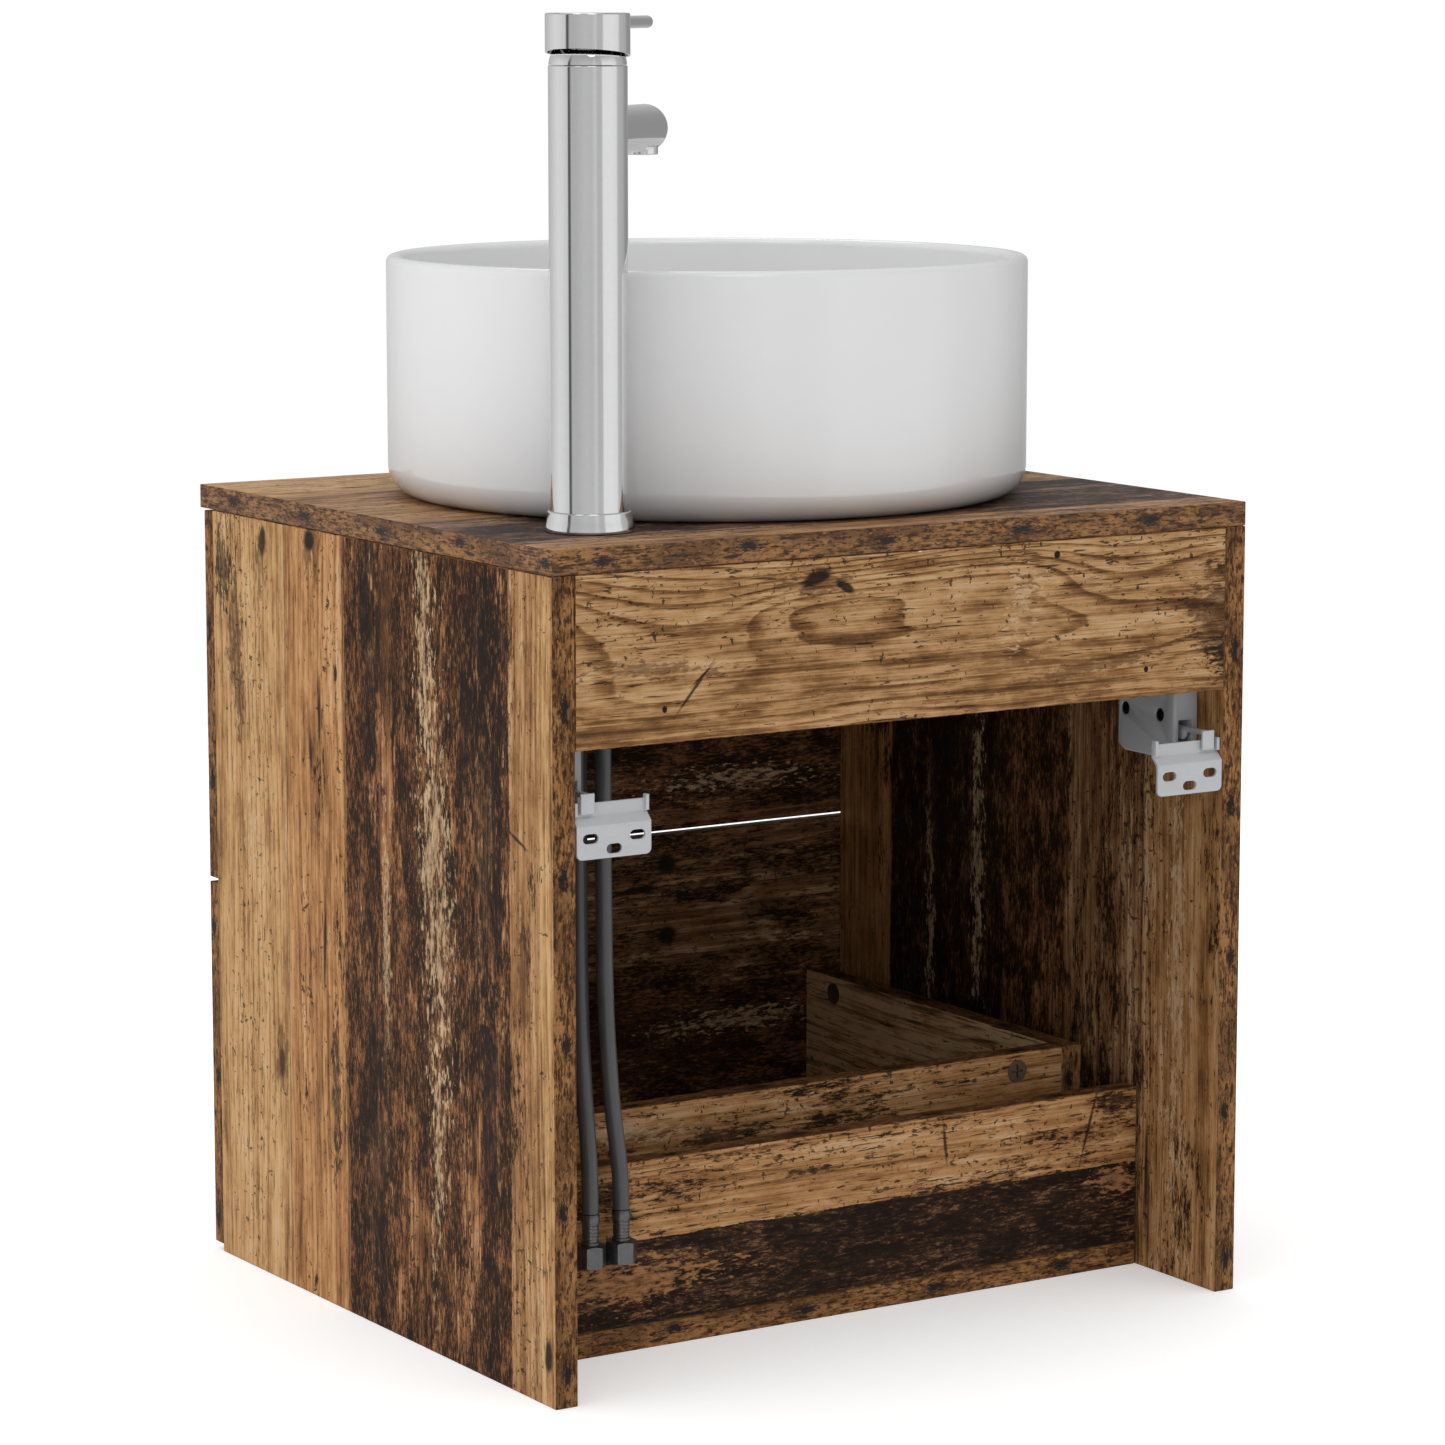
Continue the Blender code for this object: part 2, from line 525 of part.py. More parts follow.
def build_tap_handle():
    """Lever cap with its slanted lower edge, the stem inside it, and the lever pin."""
    place = Vector((TAP.x, TAP.y, 0))
    hollow = CAP_R - 0.0014
    ceiling = COLUMN_TOP + 0.0198
    cap_outline = [(hollow, COLUMN_TOP), (CAP_R, COLUMN_TOP), (CAP_R, CAP_TOP - 0.0010),
                   (CAP_R - 0.0010, CAP_TOP), (0, CAP_TOP), (0, ceiling), (hollow, ceiling)]
    cap = turned("tap_cap", cap_outline + [cap_outline[0]], place, "chrome", steps=40)
    # The lower edge is a slanted plane, low under the lever and high behind it.
    wedge = box("cap_wedge", (-0.04, 0.04), (-0.04, 0.04), (-0.02, 0))
    level = math.atan2(SPOUT_AIM.y, SPOUT_AIM.x)
    turn = Matrix.Rotation(level, 4, "Z") @ Matrix.Rotation(CAP_SLANT, 4, "Y")
    wedge.data.transform(Matrix.Translation(place + Vector((0, 0, 0.7808))) @ turn)
    combine(cap, wedge)
    socket_depth = 0.014
    start = place + SPOUT_AIM * socket_depth + Vector((0, 0, LEVER_Z))
    combine(cap, rod("lever_socket", LEVER_R + GAP, start, 0.03, SPOUT_AIM, steps=20))
    length = LEVER_REACH - socket_depth - GAP
    outline = [(0, 0), (LEVER_R, 0), (LEVER_R, length - 0.0008), (LEVER_R - 0.0008, length), (0, length)]
    lever = turned("tap_lever", outline, start + SPOUT_AIM * GAP, "chrome", steps=20, aim=SPOUT_AIM)
    half = 0.004
    stem = box("tap_stem", (TAP.x - half, TAP.x + half), (TAP.y - half, TAP.y + half),
               (COLUMN_TOP + 0.0101, ceiling - GAP), "brass_nickel")
    return cap, lever, stem


def smooth_route(route, spacing):
    """Points about spacing apart on a Catmull-Rom curve through route."""
    knots = [Vector(point) for point in route]
    knots = [2 * knots[0] - knots[1]] + knots + [2 * knots[-1] - knots[-2]]
    points = []
    for a, b, c, d in zip(knots, knots[1:], knots[2:], knots[3:]):
        count = max(1, round((c - b).length / spacing))
        for i in range(count):
            t = i / count
            points.append(0.5 * (2 * b + (c - a) * t + (2 * a - 5 * b + 4 * c - d) * t ** 2
                                 + (3 * b - a - 3 * c + d) * t ** 3))
    return points + [knots[-2]]


HOSE_ROUTES = {
    "left": [(0.1850, 0.1422, 0.5032), (0.1850, 0.1422, 0.4700), (0.1850, 0.1423, 0.4000),
             (0.1850, 0.1425, 0.3000), (0.1852, 0.1438, 0.2200), (0.1852, 0.1475, 0.1700),
             (0.1847, 0.1516, 0.1320), (0.1845, 0.1530, 0.1060), (0.1845, 0.1530, 0.0940)],
    "right": [(0.1750, 0.1538, 0.5032), (0.1750, 0.1538, 0.4700), (0.1750, 0.1538, 0.4000),
              (0.1748, 0.1538, 0.2900), (0.1735, 0.1537, 0.2200), (0.1698, 0.1534, 0.1650),
              (0.1652, 0.1531, 0.1300), (0.1630, 0.1530, 0.1060), (0.1630, 0.1530, 0.0940)],
}


def build_supply():
    """Threaded shank, washer, nut, and the two hoses with their ends."""
    place = Vector((TAP.x, TAP.y, 0))
    pipe("tap_shank", SHANK_R, SHANK_BORE, (SHANK_BOTTOM, TOP_Z), place, "brass_nickel")
    pipe("tap_washer", 0.0240, SHANK_R + GAP, (0.4840, CARCASS_HEIGHT), place, "black_rubber")
    hex_nut("tap_nut", 0.0380, SHANK_R + GAP, (0.4740, 0.4837), place, "brass_nickel")
    for label, route in HOSE_ROUTES.items():
        curve = bpy.data.curves.new(f"hose_{label}", "CURVE")
        curve.dimensions = "3D"
        curve.bevel_depth = HOSE_R
        curve.bevel_resolution = 2
        curve.use_fill_caps = True
        spline = curve.splines.new("POLY")
        points = smooth_route(route, 0.022)
        spline.points.add(len(points) - 1)
        for target, point in zip(spline.points, points):
            target.co = (*point, 1.0)
        curve.materials.append(finish("hose_rubber"))
        hose = bpy.data.objects.new(f"hose_{label}", curve)
        bpy.context.scene.collection.objects.link(hose)
        end = Vector(route[-1])
        foot = Vector((end.x, end.y, 0))
        low, high = HOSE_NUT_Z[1] + GAP, FERRULE_TOP
        outline = [(0, low), (0.0057, low), (0.0057, low + 0.0014), (0.0048, low + 0.0022),
                   (0.0048, high - 0.0080), (0.0057, high - 0.0077), (0.0057, high - 0.0007),
                   (0.0053, high), (0, high)]
        turned(f"hose_ferrule_{label}", outline, foot, "brass_nickel", steps=20)
        nut = hex_nut(f"hose_nut_{label}", 0.0170, 0.0042, HOSE_NUT_Z, end, "brass_nickel",
                      turn=HOSE_NUT_TURN)
        combine(nut, rod(f"hose_thread_{label}", 0.0076, foot + Vector((0, 0, HOSE_NUT_Z[0] - 0.002)),
                         0.0115, (0, 0, 1), steps=24))


# --- Assembly --------------------------------------------------------------------------------
def main():
    for item in list(bpy.data.objects):
        bpy.data.objects.remove(item)
    build_carcass()
    drawer_pieces = build_drawer()
    for side in (1, -1):
        label = side_name(side)
        middle, inner = build_slides(side)
        moving_group(f"slide_{label}_axis", (side * 0.2285, SLIDE_Y[0], SLIDE_Z), [middle])
        drawer_pieces.append(inner)
        carriage, hook, plate = build_hanger(side)
        height = moving_group(f"hanger_height_{label}_axis", (side * 0.2210, WALL - 0.059, 0.3575),
                              [carriage])
        moving_group(f"hanger_depth_{label}_axis", (side * 0.2244, WALL - 0.059, 0.3568),
                     [hook, plate], parent=height)
    moving_group("drawer_axis", (0, DRAWER_Y[0], SLIDE_Z), drawer_pieces)
    build_basin()
    plug = build_waste()
    moving_group("waste_plug_axis", BASIN_CENTRE, [plug])
    spindle = build_tap_body()
    pivot = (TAP.x, TAP.y, COLUMN_TOP)
    swivel = moving_group("tap_swivel_axis", pivot, [spindle])
    moving_group("tap_lift_axis", pivot, build_tap_handle(), parent=swivel)
    build_supply()


main()
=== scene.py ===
# %% [markdown]
# # A bathroom vanity in old wood, seen from the wall side
# The cabinet hangs on two hooks, so its back is open. We look in past the tap and its hoses.
# The solid model comes in as a fixed frame: it says where every piece is and what moves.
# This lesson gives each piece its finish, and makes again the pieces that need a finer shape.

# %% Load the frame
import math

import bmesh
import bpy
from mathutils import Matrix, Vector


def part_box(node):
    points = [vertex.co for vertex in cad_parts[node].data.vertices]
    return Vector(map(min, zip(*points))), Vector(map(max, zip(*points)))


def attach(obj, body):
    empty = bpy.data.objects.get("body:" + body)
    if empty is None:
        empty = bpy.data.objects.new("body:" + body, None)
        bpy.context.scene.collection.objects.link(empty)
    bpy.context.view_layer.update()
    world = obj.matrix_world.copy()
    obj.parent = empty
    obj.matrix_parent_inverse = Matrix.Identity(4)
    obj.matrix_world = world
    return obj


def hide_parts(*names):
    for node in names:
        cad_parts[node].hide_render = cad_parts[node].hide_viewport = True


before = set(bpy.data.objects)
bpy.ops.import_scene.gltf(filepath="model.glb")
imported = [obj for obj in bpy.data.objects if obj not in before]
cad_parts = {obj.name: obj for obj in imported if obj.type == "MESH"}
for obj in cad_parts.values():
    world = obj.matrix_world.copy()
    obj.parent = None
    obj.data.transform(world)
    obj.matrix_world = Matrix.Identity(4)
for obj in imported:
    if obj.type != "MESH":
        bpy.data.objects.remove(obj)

scene = bpy.context.scene
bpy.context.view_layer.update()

# %% [markdown]
# ## The camera
# A long lens from about two metres keeps the boards' edges nearly parallel, as in a catalogue.
# It stands behind the cabinet, a little above the tap's foot, and tilts down slightly,
# so that no lens shift is needed and other views stay centred.

# %% Camera
CAMERA_PLACE = (1.6349, 2.5822, 0.8164)
CAMERA_TILT = math.radians(8.561)
CAMERA_TURN = math.radians(180 - 32.442)
camera_data = bpy.data.cameras.new("catalogue_camera")
camera_data.lens = 120.98
camera_data.sensor_width = 36.0
camera_data.clip_end = 60.0
camera = bpy.data.objects.new("catalogue_camera", camera_data)
camera.location = CAMERA_PLACE
camera.rotation_euler = (math.pi / 2 - CAMERA_TILT, 0.0, CAMERA_TURN)
scene.collection.objects.link(camera)
scene.camera = camera
print("camera", [round(v, 3) for v in camera.location])

# %% [markdown]
# ## A short way to write node trees
# Blender's nodes are usually wired by hand. Here a small class adds a node, sets its inputs
# and returns its output, so that a recipe for a finish reads like a formula.
# A value that comes from another node is linked, and a plain number is set on the socket.


# %% Recipe class
class Recipe:
    """Adds nodes to a tree; each method returns the output that the next step uses."""

    def __init__(self, tree):
        self.tree = tree

    def add(self, kind, inputs, output=0, **settings):
        node = self.tree.nodes.new(kind)
        for key, value in settings.items():
            setattr(node, key, value)
        for key, value in inputs.items():
            self.feed(node.inputs[key], value)
        return node.outputs[output]

    def feed(self, socket, value):
        if isinstance(value, bpy.types.NodeSocket):
            self.tree.links.new(value, socket)
        elif value is not None:
            socket.default_value = value

    def math(self, operation, a, b=None, c=None, clamp=False):
        return self.add("ShaderNodeMath", {0: a, 1: b, 2: c}, operation=operation, use_clamp=clamp)

    def scaled(self, vector, x, y, z):
        return self.add("ShaderNodeVectorMath", {0: vector, 1: (x, y, z)}, operation="MULTIPLY")

    def noise(self, vector, x, y, z, detail=2.0, roughness=0.5):
        """Noise whose grain is set in cells per metre along x, y and z."""
        place = self.scaled(vector, x, y, z)
        return self.add("ShaderNodeTexNoise", {"Vector": place, "Scale": 1.0, "Detail": detail,
                                               "Roughness": roughness})

    def step(self, value, low, high, bottom=0.0, top=1.0):
        """A soft step: bottom under low, top over high."""
        return self.add("ShaderNodeMapRange", {0: value, 1: low, 2: high, 3: bottom, 4: top},
                        interpolation_type="SMOOTHSTEP")

    def mix(self, amount, a, b):
        """Mix two colours; a plain tuple gets an alpha of 1."""
        a, b = (v if isinstance(v, bpy.types.NodeSocket) else (*v[:3], 1.0) for v in (a, b))
        return self.add("ShaderNodeMix", {"Factor": amount, 6: a, 7: b}, output=2, data_type="RGBA")

    def blend(self, amount, a, b):
        """Mix two numbers."""
        return self.add("ShaderNodeMix", {0: amount, 2: a, 3: b}, data_type="FLOAT")

    def split(self, vector):
        node = self.tree.nodes.new("ShaderNodeSeparateXYZ")
        self.feed(node.inputs[0], vector)
        return list(node.outputs)

    def join(self, x, y, z):
        return self.add("ShaderNodeCombineXYZ", {0: x, 1: y, 2: z})

    def ramp(self, value, stops, interpolation="LINEAR"):
        """A colour ramp from a list of (position, colour)."""
        node = self.tree.nodes.new("ShaderNodeValToRGB")
        node.color_ramp.interpolation = interpolation
        elements = node.color_ramp.elements
        while len(elements) < len(stops):
            elements.new(1.0)
        for element, (position, colour) in zip(elements, stops):
            element.position = position
            element.color = (*colour, 1.0)
        self.feed(node.inputs[0], value)
        return node.outputs[0]


def new_material(name, **shader_values):
    """A material with one Principled shader; returns the material, its recipe and the shader."""
    material = bpy.data.materials.new(name)
    material.use_nodes = True
    shader = material.node_tree.nodes["Principled BSDF"]
    for key, value in shader_values.items():
        shader.inputs[key.replace("_", " ")].default_value = value
    return material, Recipe(material.node_tree), shader


def own_place(recipe):
    """The piece's own coordinates, in metres."""
    return recipe.add("ShaderNodeTexCoord", {}, output="Object")


def add_bump(recipe, shader, height, depth, strength=1.0):
    """Feed a height into the shader's normal; depth is in metres."""
    bump = recipe.add("ShaderNodeBump", {"Height": height, "Distance": depth, "Strength": strength})
    recipe.feed(shader.inputs["Normal"], bump)


print("recipe ready")

# %% [markdown]
# ## Old plank wood
# The boards are chipboard under a printed foil that looks like planks of old pine side by side.
# Each plank has fine straight fibres, wider growth lines that bend into arches, brown mottling,
# black specks, and in places a charred, almost black, skin with ragged ends along the grain.
# All of it is noise stretched along the grain, so one node group serves every board:
# it takes a place as (along, across, depth) in metres and each plank's own character.

# %% Grain table
# name: cells per metre along the grain, cells per metre across it, detail, roughness
GRAINS = {
    "drift": (2.6, 13.0, 2.0, 0.50),       # how a whole plank leans to one side and back
    "fibre": (16.0, 800.0, 3.0, 0.65),     # the finest lines
    "streak": (5.0, 130.0, 5.0, 0.60),     # lighter and darker streaks
    "mottle": (34.0, 90.0, 5.0, 0.70),     # blotches of some centimetres
    "cloud": (5.0, 16.0, 4.0, 0.60),       # where a plank is clean and where it is dirty
    "swell": (2.2, 9.0, 2.0, 0.45),        # what bends the growth lines into arches
    "speck": (120.0, 420.0, 3.0, 0.60),    # small black dots
    "nick": (240.0, 150.0, 3.0, 0.60),     # short marks across the grain
    "crack": (42.0, 640.0, 2.0, 0.50),     # hairline cracks along the grain
    "burn": (5.5, 24.0, 7.0, 0.70),        # where the fire reached
    "ragged": (60.0, 300.0, 4.0, 0.75),    # torn ends of burnt and rubbed patches
    "spark": (150.0, 620.0, 4.0, 0.75),    # bright splinters left in the char
    "lane": (1.6, 26.0, 1.0, 0.50),        # long lanes that were rubbed
    "wear": (22.0, 150.0, 5.0, 0.75),      # how the rubbing broke up
}
CHAR_BLACK = (0.0110, 0.0060, 0.0040)
WORN_PALE = (0.560, 0.385, 0.225)
DEEP_BROWN = (0.045, 0.020, 0.009)
SPECK = (0.016, 0.009, 0.006)
SWAY = 0.006              # metres that a fibre leans over a plank's length
YEARS_PER_METRE = 135.0   # growth lines across a plain plank
ARCH_YEARS = 26.0         # growth lines that the strongest arch runs through
print("grains:", ", ".join(GRAINS))

# %% [markdown]
# ### One function for each layer
# Growth lines darken slowly over a year and stop sharply, so they come from the fraction of
# a phase that counts years across the plank. Specks, nicks and cracks are the peaks of three
# fine noises, and there are more of them where the plank is dirty. The char grows where a
# coarse noise, roughened by a fine one, passes a level that each plank sets for itself.


# %% Layers of the wood
def grain(r, place, name):
    """The noise of one grain, from the table."""
    along, across, detail, roughness = GRAINS[name]
    return r.noise(place, along, across, across, detail, roughness)


def centred(r, value):
    """Noise moved from 0..1 to about -0.5..0.5."""
    return r.math("SUBTRACT", value, 0.5)


def growth_lines(r, place, lean, streak, cloud, figure):
    """1 on the dark late wood of each year, bent into arches where the figure is strong."""
    arch = r.math("MULTIPLY", grain(r, place, "swell"), figure)
    phase = r.math("MULTIPLY_ADD", lean, YEARS_PER_METRE, r.math("MULTIPLY", arch, ARCH_YEARS))
    phase = r.math("MULTIPLY_ADD", streak, 0.30, phase)
    year = r.math("FRACT", phase)
    ring = r.math("MULTIPLY", r.step(year, 0.50, 0.90), r.step(year, 0.92, 1.0, 1.0, 0.0))
    return r.math("MULTIPLY", ring, r.step(cloud, 0.34, 0.60, 0.40, 1.0))


def plain_wood(r, layers, ring, figure, light, brown):
    """Wood colour from the sum of the weighted layers: brown, light, then pale or very dark."""
    tone = 0.17
    for layer, weight in layers:
        tone = r.math("MULTIPLY_ADD", centred(r, layer), weight, tone)
    tone = r.math("MULTIPLY_ADD", ring, r.math("MULTIPLY_ADD", figure, -0.48, -0.30), tone)
    wood = r.mix(r.step(tone, -0.34, 0.34), brown, light)
    wood = r.mix(r.step(tone, 0.22, 0.80, 0.0, 0.60), wood, WORN_PALE)
    return r.mix(r.step(tone, -0.80, -0.22, 0.72, 0.0), wood, DEEP_BROWN)


def small_damage(r, place, straight, cloud, char):
    """1 on specks, nicks and cracks; dirt brings them on."""
    dirt = r.step(cloud, 0.40, 0.62)
    dirt = r.math("MULTIPLY_ADD", r.math("MINIMUM", char, 0.5), 0.9, dirt)
    damage = None
    for name, run, help_of_dirt, low, high in (("speck", straight, 0.075, 0.682, 0.722),
                                               ("nick", place, 0.055, 0.684, 0.722),
                                               ("crack", straight, 0.045, 0.678, 0.720)):
        peak = r.math("MULTIPLY_ADD", dirt, help_of_dirt, grain(r, run, name))
        mask = r.step(peak, low, high)
        damage = r.math("MAXIMUM", damage, mask) if damage else mask
    return damage


def charred_skin(r, straight, ragged, mottle, given):
    """The char's mask, and its colour: black with brown and a few bright splinters."""
    level = r.math("MULTIPLY_ADD", centred(r, grain(r, straight, "burn")), 2.7, 0.5)
    level = r.math("MULTIPLY_ADD", centred(r, ragged), 1.3, level)
    level = r.math("ADD", level, r.math("SUBTRACT", given["Char"], 1.0))
    scorch = r.math("MULTIPLY", r.step(level, -0.05, 0.06), r.step(given["Char"], 0.0, 0.05))
    ember = r.math("MULTIPLY_ADD", centred(r, grain(r, straight, "spark")), 1.5, mottle)
    coal = r.mix(r.step(ember, 0.44, 0.60), CHAR_BLACK, given["Brown"])
    return scorch, r.mix(r.step(ember, 0.60, 0.74, 0.0, 0.75), coal, given["Light"])


def rubbed_lanes(r, straight, ragged, worn):
    """1 on long lanes where the old surface was rubbed pale."""
    rubbed = r.math("MULTIPLY_ADD", grain(r, straight, "lane"), 1.2, grain(r, straight, "wear"))
    pale = r.step(r.math("ADD", rubbed, worn), 1.62, 1.80)
    pale = r.math("MULTIPLY", pale, r.step(worn, 0.0, 0.05))
    return r.math("MULTIPLY", pale, r.step(ragged, 0.36, 0.58, 0.05, 0.70))


print("layers: growth lines, plain wood, small damage, charred skin, rubbed lanes")

# %% [markdown]
# ### The group
# The layers are put together once, in a node group with named inputs. Its height output
# lifts the fibres and sinks the damage and the char, for the bump on the board.


# %% Node group: old plank wood
def group_with(name, inputs, outputs):
    """An empty shader node group; returns its tree, input sockets and output node."""
    tree = bpy.data.node_groups.new(name, "ShaderNodeTree")
    kinds = {"vector": "NodeSocketVector", "colour": "NodeSocketColor", "number": "NodeSocketFloat"}
    for label, kind in inputs:
        tree.interface.new_socket(label, in_out="INPUT", socket_type=kinds[kind])
    for label, kind in outputs:
        tree.interface.new_socket(label, in_out="OUTPUT", socket_type=kinds[kind])
    entry = tree.nodes.new("NodeGroupInput")
    return tree, {label: entry.outputs[label] for label, _ in inputs}, tree.nodes.new("NodeGroupOutput")


WOOD_INPUTS = [("Place", "vector"), ("Light", "colour"), ("Brown", "colour"), ("Char", "number"),
               ("Worn", "number"), ("Figure", "number")]


def make_old_wood():
    tree, given, out = group_with("old plank wood", WOOD_INPUTS,
                                  [("Color", "colour"), ("Height", "number"), ("Roughness", "number")])
    r = Recipe(tree)
    place = given["Place"]
    along, across, depth = r.split(place)
    lean = r.math("MULTIPLY_ADD", grain(r, place, "drift"), SWAY, across)
    straight = r.join(along, lean, depth)
    fibre, streak = grain(r, straight, "fibre"), grain(r, straight, "streak")
    mottle, cloud = grain(r, place, "mottle"), grain(r, place, "cloud")
    ragged = grain(r, straight, "ragged")

    ring = growth_lines(r, place, lean, streak, cloud, given["Figure"])
    layers = ((streak, 2.20), (fibre, 2.00), (mottle, 2.10), (cloud, 1.40))
    wood = plain_wood(r, layers, ring, given["Figure"], given["Light"], given["Brown"])
    damage = small_damage(r, place, straight, cloud, given["Char"])
    wood = r.mix(r.math("MULTIPLY", damage, 0.82), wood, SPECK)
    scorch, coal = charred_skin(r, straight, ragged, mottle, given)
    wood = r.mix(r.math("MULTIPLY", scorch, 0.95), wood, coal)
    wood = r.mix(rubbed_lanes(r, straight, ragged, given["Worn"]), wood, WORN_PALE)

    height = r.math("MULTIPLY_ADD", fibre, 0.55, r.math("MULTIPLY", mottle, 0.35))
    for layer, sink in ((damage, -0.55), (ring, -0.12), (scorch, -0.10)):
        height = r.math("MULTIPLY_ADD", layer, sink, height)
    rough = r.math("MULTIPLY_ADD", fibre, 0.20, 0.46)
    rough = r.math("MULTIPLY_ADD", scorch, 0.05, rough)
    for label, value in (("Color", wood), ("Height", height), ("Roughness", rough)):
        r.feed(out.inputs[label], value)
    return tree


OLD_WOOD = make_old_wood()
print("old plank wood:", len(OLD_WOOD.nodes), "nodes")

# %% [markdown]
# ## Edge band
# The narrow faces of the boards carry a strip that imitates the cut wood: short brown flecks,
# orange grains, and a black knot about every hundred millimetres. A second group paints it,
# from the place along the edge and through the board's thickness.


# %% Node group: edge band
KNOT_PITCH = 0.098        # from one black knot to the next
KNOT_HALF_LENGTH = 0.0082
KNOT_HALF_WIDTH = 0.0030
BAND_BROWN, BAND_LIGHT = (0.060, 0.024, 0.009), (0.300, 0.148, 0.056)
BAND_SHADE = (0.060, 0.026, 0.012)
BAND_ORANGE = (0.350, 0.135, 0.042)
BAND_CHIP = (0.024, 0.013, 0.009)
KNOT_BLACK = (0.010, 0.010, 0.011)


def band_knots(r, place, along, through):
    """1 on a row of ragged ovals that wander a little across the band."""
    cell = r.math("DIVIDE", along, KNOT_PITCH)
    from_middle = r.math("SUBTRACT", r.math("FRACT", r.math("ADD", cell, 40.3)), 0.5)
    wander = centred(r, r.noise(place, 12.0, 0.0, 0.0, 0.0))
    across = r.math("MULTIPLY_ADD", wander, -0.009, through)
    reach = r.join(r.math("MULTIPLY", from_middle, KNOT_PITCH / KNOT_HALF_LENGTH),
                   r.math("DIVIDE", across, KNOT_HALF_WIDTH), 0.0)
    distance = r.add("ShaderNodeVectorMath", {0: reach}, output="Value", operation="LENGTH")
    torn = r.noise(place, 330.0, 900.0, 900.0, 4.0, 0.7)
    return r.step(r.math("MULTIPLY_ADD", centred(r, torn), 3.6, distance), 0.60, 1.25, 1.0, 0.0)


def make_edge_band():
    tree, given, out = group_with("edge band", [("Place", "vector")],
                                  [("Color", "colour"), ("Height", "number")])
    r = Recipe(tree)
    place = given["Place"]
    along, through, _ = r.split(place)
    flecks = r.noise(place, 130.0, 330.0, 330.0, 3.0, 0.6)
    fine = r.noise(place, 60.0, 900.0, 900.0, 3.0, 0.6)
    broad = r.noise(place, 16.0, 60.0, 60.0, 3.0, 0.5)
    orange = r.noise(place, 210.0, 420.0, 420.0, 1.0, 0.5)
    dark = r.noise(place, 170.0, 520.0, 520.0, 2.0, 0.6)
    tone = r.math("MULTIPLY_ADD", fine, 0.5, r.math("MULTIPLY", flecks, 0.8))
    band = r.mix(r.step(tone, 0.50, 0.76), BAND_BROWN, BAND_LIGHT)
    band = r.mix(r.step(broad, 0.42, 0.62, 0.0, 0.62), band, BAND_SHADE)
    band = r.mix(r.step(orange, 0.60, 0.68, 0.0, 0.60), band, BAND_ORANGE)
    chips = r.step(dark, 0.535, 0.600)
    band = r.mix(r.math("MULTIPLY", chips, 0.80), band, BAND_CHIP)
    knot = band_knots(r, place, along, through)
    band = r.mix(r.math("MULTIPLY", knot, 0.92), band, KNOT_BLACK)
    height = r.math("MULTIPLY_ADD", chips, -0.5, fine)
    for label, value in (("Color", band), ("Height", height)):
        r.feed(out.inputs[label], value)
    return tree


EDGE_BAND = make_edge_band()
print("edge band:", len(EDGE_BAND.nodes), "nodes")

# %% [markdown]
# ## Planks on a board
# A board's face shows several planks. Colour ramps with hard steps, read across the grain,
# hand each plank its light colour, its brown and its character (char, wear, figure).
# A thin dark seam is painted where one plank ends and the next begins.

# %% Plank characters
# name: light colour, brown colour, (char, worn, figure)
PLANKS = {
    "honey": ((0.480, 0.286, 0.124), (0.290, 0.144, 0.054), (0.03, 0.00, 0.30)),
    "amber": ((0.445, 0.226, 0.088), (0.258, 0.115, 0.041), (0.22, 0.00, 0.35)),
    "rail": ((0.400, 0.226, 0.098), (0.190, 0.090, 0.033), (0.02, 0.00, 0.90)),
    "flecked": ((0.395, 0.208, 0.086), (0.235, 0.108, 0.040), (0.36, 0.00, 0.15)),
    "rust": ((0.310, 0.136, 0.052), (0.110, 0.043, 0.016), (0.66, 0.16, 0.20)),
    "charred": ((0.250, 0.116, 0.052), (0.105, 0.043, 0.018), (0.76, 0.05, 0.20)),
    "coal": ((0.185, 0.090, 0.042), (0.031, 0.015, 0.009), (0.98, 0.00, 0.20)),
    "tan": ((0.370, 0.195, 0.080), (0.205, 0.095, 0.035), (0.26, 0.00, 0.20)),
    "smoke": ((0.215, 0.112, 0.064), (0.080, 0.039, 0.025), (0.60, 0.05, 0.25)),
    # The drawer sides' plank: painted light, a wood colour far lighter than the rest, making up for the
    # shade deep in the cabinet.
    "chestnut": ((0.760, 0.520, 0.280), (0.420, 0.245, 0.115), (0.06, 0.00, 0.60)),
    "walnut": ((0.250, 0.130, 0.058), (0.125, 0.056, 0.023), (0.42, 0.04, 0.30)),
}
SEAM_HALF = 0.0007        # half the width of a seam, in metres
SEAM_DARK = (0.020, 0.011, 0.008)
BLACK, WHITE = (0, 0, 0), (1, 1, 1)


def plank_ramps(r, across, low, high, planks):
    """Light colour, brown colour and character across a board, and its dark seams."""
    span = high - low
    position = r.math("DIVIDE", r.math("SUBTRACT", across, low), span, clamp=True)
    starts = [low] + [end for end, _ in planks[:-1]]
    stops = [((start - low) / span, name) for start, (_, name) in zip(starts, planks)]
    ramps = []
    for part in range(3):
        ramps.append(r.ramp(position, [(p, PLANKS[name][part]) for p, name in stops], "CONSTANT"))
    half = SEAM_HALF / span
    seams = [(0.0, BLACK)]
    for p, _ in stops[1:]:
        seams += [(p - half, BLACK), (p, WHITE), (p + half, BLACK)]
    return ramps, r.ramp(position, seams) if len(stops) > 1 else 0.0


print("planks:", ", ".join(PLANKS))
